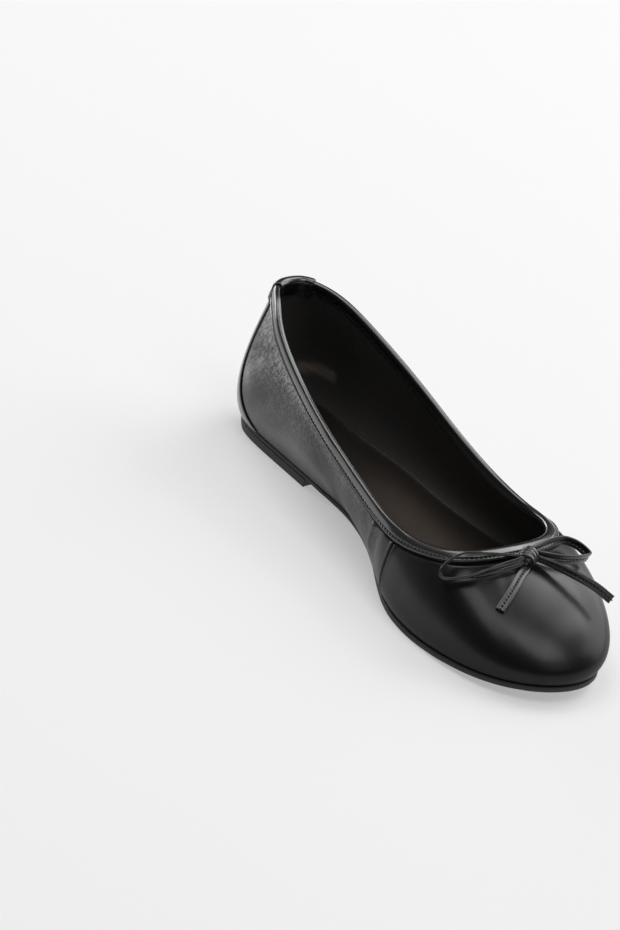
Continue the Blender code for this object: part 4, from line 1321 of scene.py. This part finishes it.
def make_strip_piece(name, bends, flat, over_binding, node_name):
    """One strip of the bow, as a lofted section, with its stitches."""
    lowest = GAP + (BOW_THICK if flat else BOW_STRIP) / 2
    if over_binding:
        lowest += BINDING + GAP
    points, square, lean, length = bow_route(bends, lowest, TAPE_RINGS)
    along = unit(np.gradient(points, axis=0))
    side = unit(np.cross(along, square))
    upright = np.cross(side, along)
    tip, rise = np.sin(lean)[:, None], np.cos(lean)[:, None]
    wide, thin = (side, upright) if flat else (upright * rise + side * tip,
                                               side * rise - upright * tip)
    pressed = stitch_beat(points, False, TAPE_PITCH)[1]
    rings = np.array([tape_ring(*ring) for ring in zip(points, wide, thin, pressed)])
    count = len(SECTION)
    faces = grid_faces(len(rings), count, False).tolist() + end_caps(len(rings), count)
    piece = build(name, rings, faces, BOW_LEATHER, crisp=50)
    low = BOW_THICK / 2 * 0.16
    stitches = stitch_row(name + "_stitches", [points + thin * low, points - thin * low], False,
                          TAPE_PITCH, length=0.0013, width=0.00048)
    seat(piece, "bow_leather", node_name)
    seat(stitches, "bow_leather")
    print(name, "is", round(length * 1000, 1), "mm long")


# %% [markdown]
# The knot is the strip wrapped once round itself: a plump core with two folds of the strip
# drawn over it, slantwise. Each fold is the same lobed section on a short arch.

# %% The knot
KNOT_PRESS = 0.4
ARCH_STEPS = 36
ARCH_TUCK = 0.35
CORE_RISE = 0.0023
CORE_SIZE = (0.0070, 0.0066, 0.0046)


def make_knot():
    """A core and two arched folds, as one mesh."""
    rib, climb = wall_under(KNOT_SPOT[:1], KNOT_SPOT[1:])
    square = wall_normal(rib, climb)[0]
    floor = wall(rib, climb)[0] + square * (2 * GAP + BINDING)
    across = np.cross(square, np.array([0.0, 1.0, 0.0]))
    across = -across / np.linalg.norm(across)
    if across[0] < 0:
        across = -across
    ahead = np.cross(square, across)
    points, faces = [], []

    def arch(turn, offset, half_span, height, width, thick, lean, low):
        """A fold of the strip over the core."""
        c, s = math.cos(turn), math.sin(turn)
        run_way = across * c + ahead * s
        wide_way = -across * s + ahead * c
        rings = []
        for angle in np.linspace(math.pi + ARCH_TUCK, -ARCH_TUCK, ARCH_STEPS):
            centre = (floor + wide_way * offset + run_way * half_span * math.cos(angle)
                      + square * (low + height * math.sin(angle))
                      + wide_way * lean * math.cos(angle))
            out = run_way * math.cos(angle) / half_span + square * math.sin(angle) / height
            out = out / np.linalg.norm(out)
            rings.append(tape_ring(centre, wide_way, out, KNOT_PRESS, width / 2, thick / 2))
        base = sum(len(block) for block in points)
        count = len(SECTION)
        points.append(np.vstack(rings))
        faces.extend((grid_faces(ARCH_STEPS, count, False) + base).tolist())
        faces.extend((np.array(end_caps(ARCH_STEPS, count)) + base).tolist())

    arch(math.radians(-52), -0.0014, 0.0036, 0.0037, 0.0036, 0.0013, 0.0004, 0.0010)
    arch(math.radians(-60), 0.0015, 0.0037, 0.0040, 0.0036, 0.0013, -0.0003, 0.0009)
    arch(math.radians(30), 0.0002, 0.0040, 0.0029, 0.0046, 0.0012, 0.0, 0.0008)
    core = bmesh.new()
    bmesh.ops.create_uvsphere(core, u_segments=28, v_segments=16, radius=0.5)
    base = sum(len(block) for block in points)
    core.verts.ensure_lookup_table()
    middle = floor + square * CORE_RISE
    long, wide, high = CORE_SIZE
    points.append(np.array([middle + across * v.co.x * long + ahead * v.co.y * wide
                            + square * v.co.z * high for v in core.verts]))
    faces.extend([[base + v.index for v in face.verts] for face in core.faces])
    core.free()
    return build("knot", np.vstack(points), faces, BOW_LEATHER, crisp=50)


KNOT = seat(make_knot(), "bow_leather", "bow_knot")
make_strip_piece("loop_inner", INNER_LOOP, False, True, "bow_loop_inner")
make_strip_piece("loop_outer", OUTER_LOOP, False, True, "bow_loop_outer")
make_strip_piece("tail_inner", INNER_TAIL, True, False, "bow_tail_inner")
make_strip_piece("tail_outer", OUTER_TAIL, False, False, "bow_tail_outer")

# %% [markdown]
# The shoe stands on a plain white table, lit a little from below. Black leather shows no colour
# of its own, only what it reflects, so the lights are placed for their reflections: a long bank
# at the outer side draws the highlights on the vamp and the tapes, a wide one above and a low
# one behind light the tops and the quarter, and weak ones fill in at the toe and the inner side.

# %% Floor, lights and room
PAPER_HALF = 6.0
PAPER_WHITE = 0.56
PAPER_GLOW = 0.39


def make_floor():
    """A wide white sheet that glows a little."""
    mesh = bpy.data.meshes.new("paper")
    mesh.from_pydata([(x * PAPER_HALF, y * PAPER_HALF, 0)
                      for x, y in ((-1, -1), (1, -1), (1, 1), (-1, 1))], [], [(0, 1, 2, 3)])
    paper, tree, shader = new_material("white_paper")
    for entry, value in (
            ("Base Color", (PAPER_WHITE, PAPER_WHITE, PAPER_WHITE, 1.0)), ("Roughness", 0.9),
            ("Specular IOR Level", 0.1), ("Emission Color", (1.0, 1.0, 1.0, 1.0)),
            ("Emission Strength", PAPER_GLOW)):
        feed(tree, value, shader.inputs[entry])
    mesh.materials.append(paper)
    floor = add_object("paper", mesh)


def lamp(name, bearing, height, reach, size, power):
    """A soft light on a dome round the shoe: the bearing runs from the heel to the outer side."""
    turn, rise = math.radians(bearing), math.radians(height)
    spot = reach * Vector((math.sin(turn) * math.cos(rise), math.cos(turn) * math.cos(rise),
                           math.sin(rise)))
    light = bpy.data.lights.new(name, "AREA")
    light.shape = "RECTANGLE"
    light.size, light.size_y = size
    light.energy = power
    holder = add_object(name, light)
    holder.location = spot
    aim = Vector((0.0, 0.0, 0.03)) - spot
    holder.rotation_euler = aim.to_track_quat("-Z", "Y").to_euler()


make_floor()
lamp("outer_bank", 92, 27, 2.2, (2.2, 1.8), 25.0)
lamp("outer_top", 76, 56, 2.2, (1.0, 1.0), 10.0)
lamp("back_low", -6, 10, 2.2, (1.8, 0.72), 24.0)
lamp("back_top", 0, 66, 2.2, (1.2, 1.1), 11.0)
lamp("front_top", 180, 66, 2.2, (1.1, 1.0), 9.0)
lamp("inner_top", -90, 66, 2.2, (1.1, 1.0), 5.5)
lamp("toe_low", 180, 40, 2.2, (1.2, 1.0), 2.5)

room = bpy.data.worlds.new("room")
bpy.context.scene.world = room
room.use_nodes = True
background = room.node_tree.nodes["Background"]
background.inputs["Color"].default_value = (0.9, 0.92, 0.95, 1.0)
background.inputs["Strength"].default_value = 0.01
bpy.context.scene.view_settings.view_transform = "Standard"
